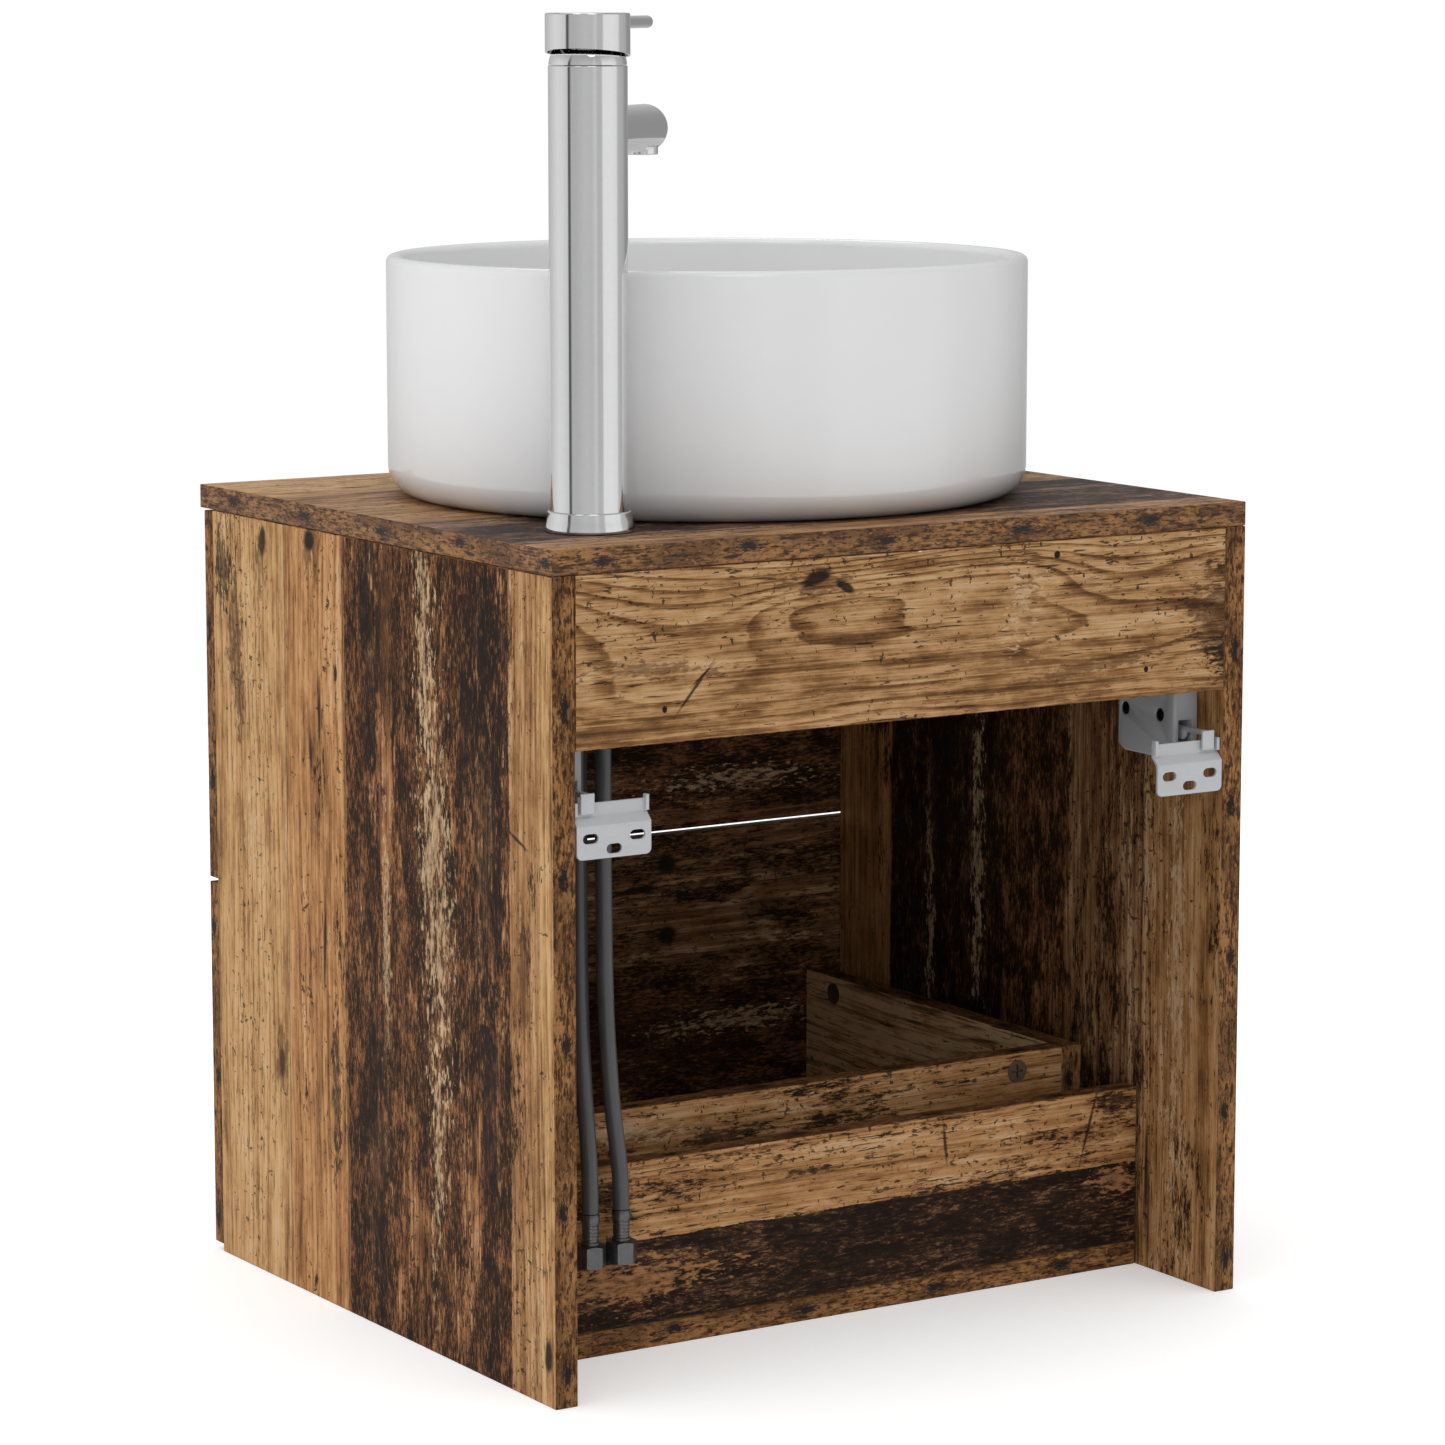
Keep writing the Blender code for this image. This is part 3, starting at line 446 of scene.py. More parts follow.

# %% [markdown]
# ## Marks
# A mark is an ellipse with a ragged rim: a knot, a nail hole, a scratch, a burnt patch or a patch of painted
# shade.
# Some kinds crumble: towards their rim only the stronger grains keep the mark's colour.
# A mark is written as (kind, (along, across) of its middle, half sizes, turn in degrees).

# %% Marks
MARK_KINDS = {
    # colour, strength, raggedness, softness of the rim, how far it crumbles;
    # a kind that crumbles needs no softness
    "knot": ((0.014, 0.009, 0.007), 0.94, 1.6, 0.35, 0.0),
    "hole": ((0.006, 0.004, 0.004), 0.97, 0.4, 0.15, 0.0),
    "scratch": ((0.020, 0.010, 0.007), 0.88, 2.0, 0.50, 0.0),
    "halo": ((0.100, 0.043, 0.018), 0.70, 2.0, 0.0, 0.22),
    "burn": ((0.016, 0.009, 0.007), 0.92, 2.5, 0.0, 0.26),
    "rub": ((0.540, 0.370, 0.215), 0.78, 2.0, 0.0, 0.13),
    "brown": ((0.330, 0.158, 0.066), 0.95, 3.0, 0.0, 0.24),
    # shade is painted shade: a soft dark patch where shadow falls on a board
    "shade": ((0.050, 0.020, 0.011), 0.78, 3.0, 0.0, 0.30),
}
FLAT = 1000.0             # a half size so large that the depth axis doesn't count


def crumbled(r, distance, grit, crumble, strength, tint):
    """The mask of a crumbling mark, and its colour, which is darker in the weaker grains."""
    cover = r.math("MULTIPLY_ADD", distance, -crumble, grit)
    mask = r.step(cover, 0.48 - crumble, 0.60 - crumble, 0.0, strength)
    mask = r.math("MULTIPLY", mask, r.step(grit, 0.30, 0.66, 0.45, 1.0))
    return mask, r.mix(r.step(grit, 0.34, 0.66), [value * 0.62 for value in tint], tint)


def add_mark(r, colour, place, ragged, grit, mark):
    """Paint one mark over a colour."""
    kind, middle, size, turn = mark
    tint, strength, wildness, rim, crumble = MARK_KINDS[kind]
    flat = r.add("ShaderNodeMapping", {"Vector": place, "Location": (*middle, 0.0),
                                       "Rotation": (0.0, 0.0, math.radians(turn)),
                                       "Scale": (*size, FLAT)}, vector_type="TEXTURE")
    distance = r.add("ShaderNodeVectorMath", {0: flat}, output="Value", operation="LENGTH")
    distance = r.math("MULTIPLY_ADD", ragged, wildness, distance)
    if crumble:
        mask, tint = crumbled(r, distance, grit, crumble, strength, tint)
    else:
        mask = r.step(distance, 1.0 - rim, 1.0 + rim, strength, 0.0)
    return r.mix(mask, colour, tint)


print("marks:", ", ".join(MARK_KINDS))

# %% [markdown]
# ## Painting a board
# A broad face gets its planks, seams and marks. Where the place is within half a millimetre of
# the board's rim, the edge band takes over. The panels' inner faces may differ from the outer.

# %% Painting a board
AXES = {"x": 0, "y": 1, "z": 2}
TORN = 0.0085             # how far a seam strays from a straight line, in metres
RIM_START, RIM_END = 0.00035, 0.00055
BUMP_DEPTH, BUMP_STRENGTH = 0.00030, 0.55


def paint_face(r, axes, along, across, depth, shift, low, high, planks, marks):
    """Colour, height and roughness of one broad face."""
    place = r.join(r.math("ADD", axes[along], shift), axes[across], r.math("ADD", axes[depth], shift))
    rough_line = centred(r, r.noise(place, 22.0, 80.0, 80.0, 7.0, 0.78))
    grit = r.noise(place, 110.0, 330.0, 330.0, 3.0, 0.7)
    torn = r.math("MULTIPLY_ADD", rough_line, TORN, axes[across])
    (light, brown, character), seam = plank_ramps(r, torn, low, high, planks)
    char, worn, figure = r.split(character)
    group = r.tree.nodes.new("ShaderNodeGroup")
    group.node_tree = OLD_WOOD
    for (label, _), value in zip(WOOD_INPUTS, (place, light, brown, char, worn, figure)):
        r.feed(group.inputs[label], value)
    colour = group.outputs["Color"]
    if len(planks) > 1:
        colour = r.mix(r.math("MULTIPLY", seam, 0.75), colour, SEAM_DARK)
    flat = r.join(axes[along], axes[across], 0.0)
    for mark in marks:
        colour = add_mark(r, colour, flat, rough_line, grit, mark)
    return colour, group.outputs["Height"], group.outputs["Roughness"]


def rim_gap(r, axes, axis, low, high):
    """How far a place is from the nearer rim of the board along one axis."""
    start, end = low[AXES[axis]], high[AXES[axis]]
    off_middle = r.math("ABSOLUTE", r.math("SUBTRACT", axes[axis], (start + end) / 2))
    return r.math("SUBTRACT", (end - start) / 2, off_middle)


def paint_edges(r, axes, along, across, depth, low, high):
    """The edge band's colour and height, and a mask that is 1 on the board's narrow faces."""
    gap_along = rim_gap(r, axes, along, low, high)
    gap_across = rim_gap(r, axes, across, low, high)
    through = r.math("SUBTRACT", axes[depth], (low[AXES[depth]] + high[AXES[depth]]) / 2)
    end_face = r.math("LESS_THAN", gap_along, gap_across)
    run = r.blend(end_face, axes[along], axes[across])
    band = r.tree.nodes.new("ShaderNodeGroup")
    band.node_tree = EDGE_BAND
    r.feed(band.inputs["Place"], r.join(run, through, 0.35))
    mask = r.step(r.math("MINIMUM", gap_along, gap_across), RIM_START, RIM_END, 1.0, 0.0)
    return band.outputs["Color"], band.outputs["Height"], mask


def wear_only(node, material):
    """Give a CAD node one material and nothing else."""
    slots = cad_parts[node].data.materials
    slots.clear()
    slots.append(material)


def board_finish(node, along, across, planks, marks=(), shift=0.0, inner=None, gloss=0.06):
    """Give a board its planks. inner may be (planks, marks) for the face nearer the middle."""
    low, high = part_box(node)
    depth = ({"x", "y", "z"} - {along, across}).pop()
    material, r, shader = new_material(f"{node}_old_wood")
    axes = dict(zip("xyz", r.split(own_place(r))))
    rest = (along, across, depth, shift, low[AXES[across]], high[AXES[across]])
    colour, height, rough = paint_face(r, axes, *rest, planks, marks)
    if inner:
        inner_colour, inner_height, _ = paint_face(r, axes, *rest, *inner)
        half_way = (abs(low[AXES[depth]]) + abs(high[AXES[depth]])) / 2
        outward = r.math("GREATER_THAN", r.math("ABSOLUTE", axes[depth]), half_way)
        colour = r.mix(outward, inner_colour, colour)
        height = r.blend(outward, inner_height, height)
    band, band_height, mask = paint_edges(r, axes, along, across, depth, low, high)
    r.feed(shader.inputs["Base Color"], r.mix(mask, colour, band))
    r.feed(shader.inputs["Roughness"], rough)
    shader.inputs["Specular IOR Level"].default_value = gloss
    add_bump(r, shader, r.blend(mask, height, band_height), BUMP_DEPTH, BUMP_STRENGTH)
    wear_only(node, material)
    print(f"{node}: {len(planks)} planks, {len(marks)} marks")


# %% [markdown]
# ## The side panels
# The grain runs upright. From the front to the wall the outer face shows a honey plank,
# an amber one, a wide charred one with a pale rubbed streak, and two narrow light ones.
# The inner face has its own planks, because the foil on it was cut elsewhere on the roll.

# %% Side panels
OUTER_SIDE = [(-0.107, "honey"), (-0.030, "amber"), (0.172, "rust"), (0.205, "tan"), (0.223, "honey")]
OUTER_MARKS = [
    ("burn", (0.455, -0.192), (0.034, 0.011), 4),
    # painted shade: a dark patch by the front edge
    ("shade", (0.405, -0.176), (0.055, 0.010), -3),
    ("knot", (0.474, -0.137), (0.0088, 0.0044), 6),
    ("halo", (0.462, -0.139), (0.022, 0.006), 0),
    ("halo", (0.477, -0.073), (0.0150, 0.0085), 0),
    ("knot", (0.481, -0.073), (0.0062, 0.0062), 0),
    ("knot", (0.402, -0.040), (0.0050, 0.0022), 0),
    ("rub", (0.293, -0.154), (0.017, 0.009), 0),
    ("knot", (0.1425, -0.1182), (0.0100, 0.0035), 0),
    ("halo", (0.1425, -0.1182), (0.0260, 0.0080), 0),
    ("scratch", (0.372, -0.062), (0.020, 0.0017), 2),
    ("scratch", (0.230, -0.058), (0.030, 0.0018), 3),
    ("scratch", (0.350, -0.074), (0.012, 0.0015), -2),
    ("rub", (0.300, 0.083), (0.105, 0.0150), -2),
    ("rub", (0.430, 0.072), (0.070, 0.0080), -1),
    ("rub", (0.130, 0.085), (0.060, 0.0060), 3),
    ("rub", (0.240, 0.022), (0.070, 0.0040), 0),
    ("halo", (0.440, 0.022), (0.060, 0.0140), 0),
    ("burn", (0.330, 0.146), (0.150, 0.0190), 0),
    ("burn", (0.440, 0.140), (0.070, 0.0230), 0),
    ("burn", (0.440, 0.005), (0.110, 0.0120), 0),
    ("burn", (0.110, 0.006), (0.120, 0.0180), 0),
    ("burn", (0.150, 0.150), (0.100, 0.0130), 0),
    ("burn", (0.380, 0.120), (0.060, 0.0090), 4),
    ("burn", (0.130, -0.045), (0.060, 0.0060), 0),
    ("halo", (0.255, 0.188), (0.034, 0.0060), 0),
    ("scratch", (0.330, 0.184), (0.0012, 0.0100), 20),
    ("knot", (0.030, 0.215), (0.0100, 0.0040), 0),
]
INNER_SIDE = [(-0.1425, "amber"), (-0.0120, "coal"), (0.0580, "charred"), (0.1425, "walnut"), (0.223, "tan")]
INNER_MARKS = [
    ("rub", (0.240, -0.040), (0.120, 0.0050), 0),
    ("rub", (0.200, -0.095), (0.090, 0.0040), 0),
    ("burn", (0.330, -0.080), (0.100, 0.0180), 0),
    ("scratch", (0.060, 0.1500), (0.030, 0.0018), 0),
    ("rub", (0.190, 0.178), (0.110, 0.0060), 0),
    # painted shade where the hanger's shadow falls on the inner face
    ("shade", (0.400, 0.110), (0.060, 0.0300), 0),
]
board_finish("side_panel_left", "z", "y", OUTER_SIDE, OUTER_MARKS, 0.0, (INNER_SIDE, INNER_MARKS))
board_finish("side_panel_right", "z", "y", OUTER_SIDE, OUTER_MARKS, 0.7, (INNER_SIDE, INNER_MARKS))

# %% [markdown]
# ## Countertop, rails and the lower board
# Across these boards the grain runs from side to side. The countertop is light at the front
# and smoky towards the wall. The rear rail is one arched plank with a scratch and nail holes.
# The lower board is light above its seam and almost black below.

# %% Countertop
TOP_PLANKS = [(-0.120, "honey"), (0.050, "tan"), (0.188, "smoke"), (0.223, "tan")]
TOP_MARKS = [
    ("hole", (0.175, -0.150), (0.012, 0.0020), 0),
    ("scratch", (0.180, -0.115), (0.014, 0.0018), 3),
    ("scratch", (0.195, -0.085), (0.012, 0.0016), 0),
    # painted shade beside the basin
    ("shade", (-0.190, -0.020), (0.080, 0.060), 0),
    ("burn", (0.130, 0.100), (0.070, 0.012), 3),
    ("burn", (-0.170, 0.060), (0.070, 0.014), 0),
    ("rub", (0.185, -0.100), (0.016, 0.0022), 0),
]
board_finish("countertop", "x", "y", TOP_PLANKS, TOP_MARKS, 1.3, gloss=0.20)

# %% Rails
REAR_RAIL_MARKS = [
    ("halo", (0.0745, 0.4740), (0.0260, 0.0080), 0),
    ("knot", (0.0695, 0.4765), (0.0110, 0.0042), -18),
    ("knot", (0.0500, 0.4700), (0.0070, 0.0026), 30),
    ("hole", (-0.1737, 0.4038), (0.0017, 0.0019), 0),
    ("hole", (0.1748, 0.4063), (0.0017, 0.0021), 0),
    ("hole", (-0.1050, 0.4790), (0.0022, 0.0022), 0),
    ("scratch", (0.1540, 0.4176), (0.0185, 0.0010), -49),
    ("scratch", (0.1480, 0.4250), (0.0090, 0.0008), -38),
    ("rub", (-0.0800, 0.4480), (0.0085, 0.0210), 8),
    # painted shade in the corner at the rail's right end
    ("shade", (-0.2290, 0.4300), (0.0230, 0.0340), 0),
    ("burn", (-0.2330, 0.4080), (0.0150, 0.0110), 0),
    ("halo", (0.1850, 0.4300), (0.0450, 0.0050), 4),
    ("halo", (-0.1300, 0.4080), (0.0600, 0.0040), -6),
]
board_finish("rear_top_rail", "x", "z", [(0.488, "rail")], REAR_RAIL_MARKS, 2.1)
board_finish("front_rail", "x", "z", [(0.452, "charred"), (0.488, "coal")], shift=3.4)

# %% Lower board and bottom
LOWER_BOARD_MARKS = [
    ("brown", (0.150, 0.043), (0.060, 0.0130), 0),
    ("brown", (-0.215, 0.058), (0.020, 0.0075), 0),
    ("brown", (0.215, 0.050), (0.040, 0.0160), 0),
    ("scratch", (-0.1955, 0.0930), (0.0230, 0.0011), -74),
    ("scratch", (-0.0839, 0.1000), (0.0150, 0.0012), 84),
    ("burn", (0.175, 0.100), (0.030, 0.0090), 0),
    ("burn", (-0.220, 0.108), (0.018, 0.0060), 0),
    ("burn", (0.020, 0.095), (0.020, 0.0030), 0),
]
board_finish("rear_lower_board", "x", "z", [(0.0680, "coal"), (0.1175, "flecked")], LOWER_BOARD_MARKS, 4.2)
board_finish("bottom_panel", "x", "y", [(-0.10, "tan"), (0.02, "walnut"), (0.1394, "amber")], shift=5.6)

# %% [markdown]
# ## Fronts and drawer
# The two fronts show old planks lying one above the other, on both faces. Behind the lower one
# stands the drawer: two sides, a back and a thin base. Its sides get a far lighter wood colour,
# which is painted light that makes up for the cabinet's shade deep inside.

# %% Fronts
DRAWER_FRONT_MARKS = [
    ("knot", (-0.092, 0.225), (0.0075, 0.0065), 0),
    ("knot", (-0.092, 0.175), (0.0070, 0.0065), 0),
    ("rub", (-0.180, 0.165), (0.0300, 0.0020), 5),
    # painted shade across the drawer front inside the cabinet
    ("shade", (-0.060, 0.100), (0.1200, 0.0250), 0),
    ("scratch", (0.030, 0.120), (0.0240, 0.0011), 35),
    ("rub", (-0.150, 0.110), (0.0500, 0.0060), 0),
    ("hole", (0.200, 0.060), (0.0018, 0.0018), 0),
]
UPPER_FRONT_MARKS = [
    ("knot", (0.140, 0.345), (0.0090, 0.0055), 0),
    ("halo", (0.140, 0.345), (0.0260, 0.0110), 0),
    ("scratch", (-0.060, 0.330), (0.0260, 0.0011), 30),
    ("rub", (-0.150, 0.280), (0.0500, 0.0060), 0),
]
DRAWER_FRONT_PLANKS = [(0.062, "tan"), (0.135, "charred"), (0.245, "walnut")]
UPPER_FRONT_PLANKS = [(0.310, "charred"), (0.372, "coal"), (0.425, "tan"), (0.487, "honey")]
board_finish("drawer_front", "x", "z", DRAWER_FRONT_PLANKS, DRAWER_FRONT_MARKS, 6.3)
board_finish("upper_front", "x", "z", UPPER_FRONT_PLANKS, UPPER_FRONT_MARKS, 7.9)

# %% Drawer boards
DRAWER_BACK_MARKS = [
    ("rub", (0.120, 0.123), (0.050, 0.0045), 5),
    ("burn", (0.060, 0.112), (0.030, 0.0080), 0),
]
for side, shift in (("left", 8.2), ("right", 9.4)):
    # The drawer sides' light wood colour is painted light for the cabinet's shade.
    board_finish(f"drawer_side_{side}", "y", "z", [(0.139, "chestnut")], shift=shift)
board_finish("drawer_back", "x", "z", [(0.085, "amber"), (0.139, "flecked")], DRAWER_BACK_MARKS, 10.7)
board_finish("drawer_base", "x", "y", [(-0.05, "tan"), (0.096, "walnut")], shift=11.5)

# %% [markdown]
# ## Metals, glaze, rubber and plastic
# Bright parts still need a touch of life: water spots and wiping marks change the gloss a
# little. One function mixes such marks into the colour, roughness and bump of a finish,
# and each finish is then a handful of values.


# %% Plain finishes with marks
def marked_finish(name, colour, spread, rough, rough_spread, grain, metallic=0.0, depth=0.00002, **more):
    """A finish whose colour and gloss vary with noise; grain is cells per metre in x, y and z."""
    material, r, shader = new_material(name, Metallic=metallic, **more)
    place = own_place(r)
    wide = r.noise(place, 14.0, 14.0, 14.0, 3.0, 0.6)
    fine = r.noise(place, *grain, 3.0, 0.6)
    blend = r.math("MULTIPLY_ADD", fine, 0.5, r.math("MULTIPLY", wide, 0.5))
    darker = tuple(max(0.0, c - spread) for c in colour)
    lighter = tuple(min(1.0, c + spread) for c in colour)
    r.feed(shader.inputs["Base Color"], r.mix(r.step(blend, 0.32, 0.68), darker, lighter))
    r.feed(shader.inputs["Roughness"], r.step(blend, 0.30, 0.70, rough - rough_spread, rough + rough_spread))
    add_bump(r, shader, fine, depth, 0.4)
    return material


FINISH = {
    "glaze": marked_finish("white_glaze", (0.73, 0.73, 0.735), 0.005, 0.10, 0.03, (60, 60, 60),
                           depth=0.00001, Coat_Weight=0.4, Coat_Roughness=0.04),
    "chrome": marked_finish("chrome", (0.70, 0.70, 0.705), 0.012, 0.060, 0.020, (240, 240, 240), 1.0,
                            depth=0.0000004),
    "steel": marked_finish("galvanised_steel", (0.50, 0.51, 0.53), 0.06, 0.36, 0.08, (300, 25, 300), 1.0),
    "paint": marked_finish("grey_powder_paint", (0.44, 0.45, 0.465), 0.018, 0.42, 0.06, (900, 900, 900),
                           depth=0.00004),
    # The housing wears the same grey paint as the hook and plate, made darker as painted shade for the
    # cabinet's shadow on it.
    "housing": marked_finish("grey_housing_paint", (0.34, 0.35, 0.365), 0.018, 0.42, 0.06, (900, 900, 900),
                             depth=0.00004),
    "screw": marked_finish("blackened_screw", (0.045, 0.045, 0.048), 0.012, 0.40, 0.10, (1500, 1500, 1500),
                           1.0),
    "hose": marked_finish("hose_rubber", (0.048, 0.049, 0.052), 0.010, 0.36, 0.06, (500, 500, 60),
                          depth=0.00003),
    "nickel": marked_finish("dull_nickel", (0.24, 0.24, 0.245), 0.05, 0.32, 0.08, (700, 700, 200), 1.0),
    "dark nickel": marked_finish("dark_nickel", (0.105, 0.105, 0.108), 0.020, 0.30, 0.06, (700, 700, 200),
                                 0.85),
    "rubber": marked_finish("black_rubber", (0.022, 0.022, 0.023), 0.006, 0.62, 0.08, (600, 600, 600)),
    "plastic": marked_finish("cartridge_plastic", (0.55, 0.55, 0.53), 0.03, 0.48, 0.06, (500, 500, 500)),
    "cap": marked_finish("brown_cover_cap", (0.085, 0.048, 0.030), 0.020, 0.50, 0.08, (700, 700, 700)),
}


def dress(nodes, finish):
    """Put a finish on CAD nodes, whose shape is already right."""
    for node in nodes:
        wear_only(node, FINISH[finish])


SIDES = ("left", "right")
dress([f"slide_{rail}_{side}" for rail in ("outer", "middle", "inner") for side in SIDES], "steel")
dress(["tap_stem", "tap_spindle"], "nickel")
dress(["tap_cartridge", "waste_guide"], "plastic")
print("finishes:", ", ".join(FINISH))

# %% [markdown]
# ## A tree that turns profiles
# Bowls, columns, flanges and ferrules are all turned: a profile goes round an axis.
# In Geometry Nodes that is Curve to Mesh, with a circle as the path and the profile as the
# section. The profile is drawn as edges in (radius, height); its points stand back by the
# circle's own radius, and their heights change sign because the circle carries the section
# upside down. Ends on the axis meet in a pole, which Merge by Distance closes.

# %% Geometry Nodes: turned piece
RING = 0.05               # radius of the circle that the profile follows
WELD = 0.000002           # points closer than this are one point
GAP = 0.0003              # air between two pieces that would otherwise touch


def make_turning_tree():
    """A profile carried round a circle, welded at its poles and given a finish."""
    tree = bpy.data.node_groups.new("turned piece", "GeometryNodeTree")
    tree.interface.new_socket("Profile", in_out="INPUT", socket_type="NodeSocketGeometry")
    tree.interface.new_socket("Steps", in_out="INPUT", socket_type="NodeSocketInt")
    tree.interface.new_socket("Path radius", in_out="INPUT", socket_type="NodeSocketFloat")
    tree.interface.new_socket("Finish", in_out="INPUT", socket_type="NodeSocketMaterial")
    tree.interface.new_socket("Piece", in_out="OUTPUT", socket_type="NodeSocketGeometry")
    given = tree.nodes.new("NodeGroupInput")
    out = tree.nodes.new("NodeGroupOutput")
    r = Recipe(tree)
    section = r.add("GeometryNodeMeshToCurve", {0: given.outputs["Profile"]})
    circle = r.add("GeometryNodeCurvePrimitiveCircle", {"Resolution": given.outputs["Steps"],
                                                        "Radius": given.outputs["Path radius"]})
    skin = r.add("GeometryNodeCurveToMesh", {"Curve": circle, "Profile Curve": section})
    closed = r.add("GeometryNodeMergeByDistance", {"Geometry": skin, "Distance": WELD})
    real = r.add("GeometryNodeRealizeInstances", {"Geometry": closed})
    dressed = r.add("GeometryNodeSetMaterial", {"Geometry": real, "Material": given.outputs["Finish"]})
    tree.links.new(dressed, out.inputs["Piece"])
    return tree


TURNING = make_turning_tree()
print(f"tree: {TURNING.name}, {len(TURNING.nodes)} nodes")

# %% [markdown]
# ## Tools for finished pieces
# A tree is run once and what it makes becomes a plain mesh. Cuts are Booleans with a guide
# shape that is dropped afterwards. Each finished piece then says what it rides on.


# %% Turning, cutting and owning
def apply_tree(holder, tree, values):
    """Run a node tree on an object and keep the result as its plain mesh."""
    modifier = holder.modifiers.new("shape", "NODES")
    modifier.node_group = tree
    for item in tree.interface.items_tree:
        if item.in_out == "INPUT" and item.name in values:
            modifier[item.identifier] = values[item.name]
    bake_modifiers(holder)


def bake_modifiers(piece):
    """Turn what the modifiers make into the piece's own mesh, and remove them."""
    evaluated = piece.evaluated_get(bpy.context.evaluated_depsgraph_get())
    mesh = bpy.data.meshes.new_from_object(evaluated)
    piece.modifiers.clear()
    piece.data = mesh


def tidy_mesh(piece, angle=35.0):
    """Weld doubles, point the faces out and shade smooth with crisp corners."""
    shape = bmesh.new()
    shape.from_mesh(piece.data)
    bmesh.ops.remove_doubles(shape, verts=shape.verts[:], dist=WELD)
    bmesh.ops.recalc_face_normals(shape, faces=shape.faces[:])
    shape.to_mesh(piece.data)
    shape.free()
    piece.data.shade_smooth()
    piece.data.set_sharp_from_angle(angle=math.radians(angle))
    return piece


def arc(centre, radius, start, stop, count):
    """Points on an arc, angles in degrees."""
    angles = [math.radians(start + (stop - start) * i / count) for i in range(count + 1)]
    return [(centre[0] + radius * math.cos(a), centre[1] + radius * math.sin(a)) for a in angles]


def turned(name, outline, centre, finish, steps=96, closed=True, aim=None):
    """A turned piece from an outline of (radius, height) about an axis through centre."""
    points = [(radius - RING, -height, 0.0) for radius, height in outline]
    pairs = [(i, i + 1) for i in range(len(points) - 1)]
    if closed:
        pairs.append((len(points) - 1, 0))
    mesh = bpy.data.meshes.new(name)
    mesh.from_pydata(points, pairs, [])
    piece = bpy.data.objects.new(name, mesh)
    scene.collection.objects.link(piece)
    apply_tree(piece, TURNING, {"Steps": steps, "Path radius": RING, "Finish": FINISH[finish]})
    place = Matrix.Translation(centre)
    if aim is not None:
        place = place @ Vector((0, 0, 1)).rotation_difference(aim).to_matrix().to_4x4()
    piece.data.transform(place)
    return tidy_mesh(piece)


def own(piece, body, slot, *nodes):
    """Say what a piece rides on and which CAD nodes it replaces; the slot argument is not used."""
    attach(piece, body)
    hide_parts(*nodes)
    low = [round(min(v.co[i] for v in piece.data.vertices), 4) for i in range(3)]
    high = [round(max(v.co[i] for v in piece.data.vertices), 4) for i in range(3)]
    print(piece.name, len(piece.data.polygons), "faces", low, high)


def cut(piece, guide, operation="DIFFERENCE"):
    """Boolean a guide shape into a piece and drop the guide."""
    modifier = piece.modifiers.new("cut", "BOOLEAN")
    modifier.operation = operation
    modifier.solver = "EXACT"
    modifier.object = guide
    bake_modifiers(piece)
    bpy.data.objects.remove(guide)
    return tidy_mesh(piece)


print(f"welds at {WELD * 1000:.3f} mm, keeps {GAP * 1000:.1f} mm of air")

# %% [markdown]
# ## The hoses come first
# Two supply hoses hang from the tap's shank to the height of the wall valves. They are shown
# from end to end under the rear rail, so their length is the route itself, about 0.41 m.
# A Catmull-Rom curve through a few chosen points keeps them straight at the top and
# lets them lean together lower down, before the ferrules.

# %% Hose routes
HOSE_R = 0.0051
HOSE_ROUTES = {
    "left": [(0.1850, 0.1422, 0.5032), (0.1850, 0.1422, 0.4700), (0.1850, 0.1423, 0.4000),
             (0.1850, 0.1425, 0.3000), (0.1852, 0.1438, 0.2200), (0.1852, 0.1475, 0.1700),
             (0.1847, 0.1516, 0.1320), (0.1845, 0.1530, 0.1060), (0.1845, 0.1530, 0.0940)],
    "right": [(0.1750, 0.1538, 0.5032), (0.1750, 0.1538, 0.4700), (0.1750, 0.1538, 0.4000),
              (0.1748, 0.1538, 0.2900), (0.1735, 0.1537, 0.2200), (0.1698, 0.1534, 0.1650),
              (0.1652, 0.1531, 0.1300), (0.1630, 0.1530, 0.1060), (0.1630, 0.1530, 0.0940)],
}


def smooth_route(route, spacing):
    """Points about spacing apart on a Catmull-Rom curve through route."""
    knots = [Vector(point) for point in route]
    knots = [2 * knots[0] - knots[1]] + knots + [2 * knots[-1] - knots[-2]]
    points = []
    for a, b, c, d in zip(knots, knots[1:], knots[2:], knots[3:]):
        count = max(1, round((c - b).length / spacing))
        for i in range(count):
            t = i / count
            points.append(0.5 * (2 * b + (c - a) * t + (2 * a - 5 * b + 4 * c - d) * t ** 2
                                 + (3 * b - a - 3 * c + d) * t ** 3))
    return points + [knots[-2]]


print("hose ends", [route[-1] for route in HOSE_ROUTES.values()])

# %% [markdown]
# ## Ferrules and nuts of the hoses
# Each hose ends in a crimped ferrule and a swivel nut, which is a hexagon with turned chamfers.
# The nut's bore opens into a wider socket, where a valve would go.

# %% Hoses, ferrules and nuts
NUT_LOW, NUT_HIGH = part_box("hose_nut_left")[0].z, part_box("hose_nut_left")[1].z
NUT_TURN = math.radians(47)
NUT_FLATS, NUT_BORE = 0.0170, 0.0042
SOCKET_R, SOCKET_DEPTH = 0.0076, 0.0095
FERRULE_LOW, FERRULE_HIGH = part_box("hose_ferrule_left")[0].z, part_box("hose_ferrule_left")[1].z


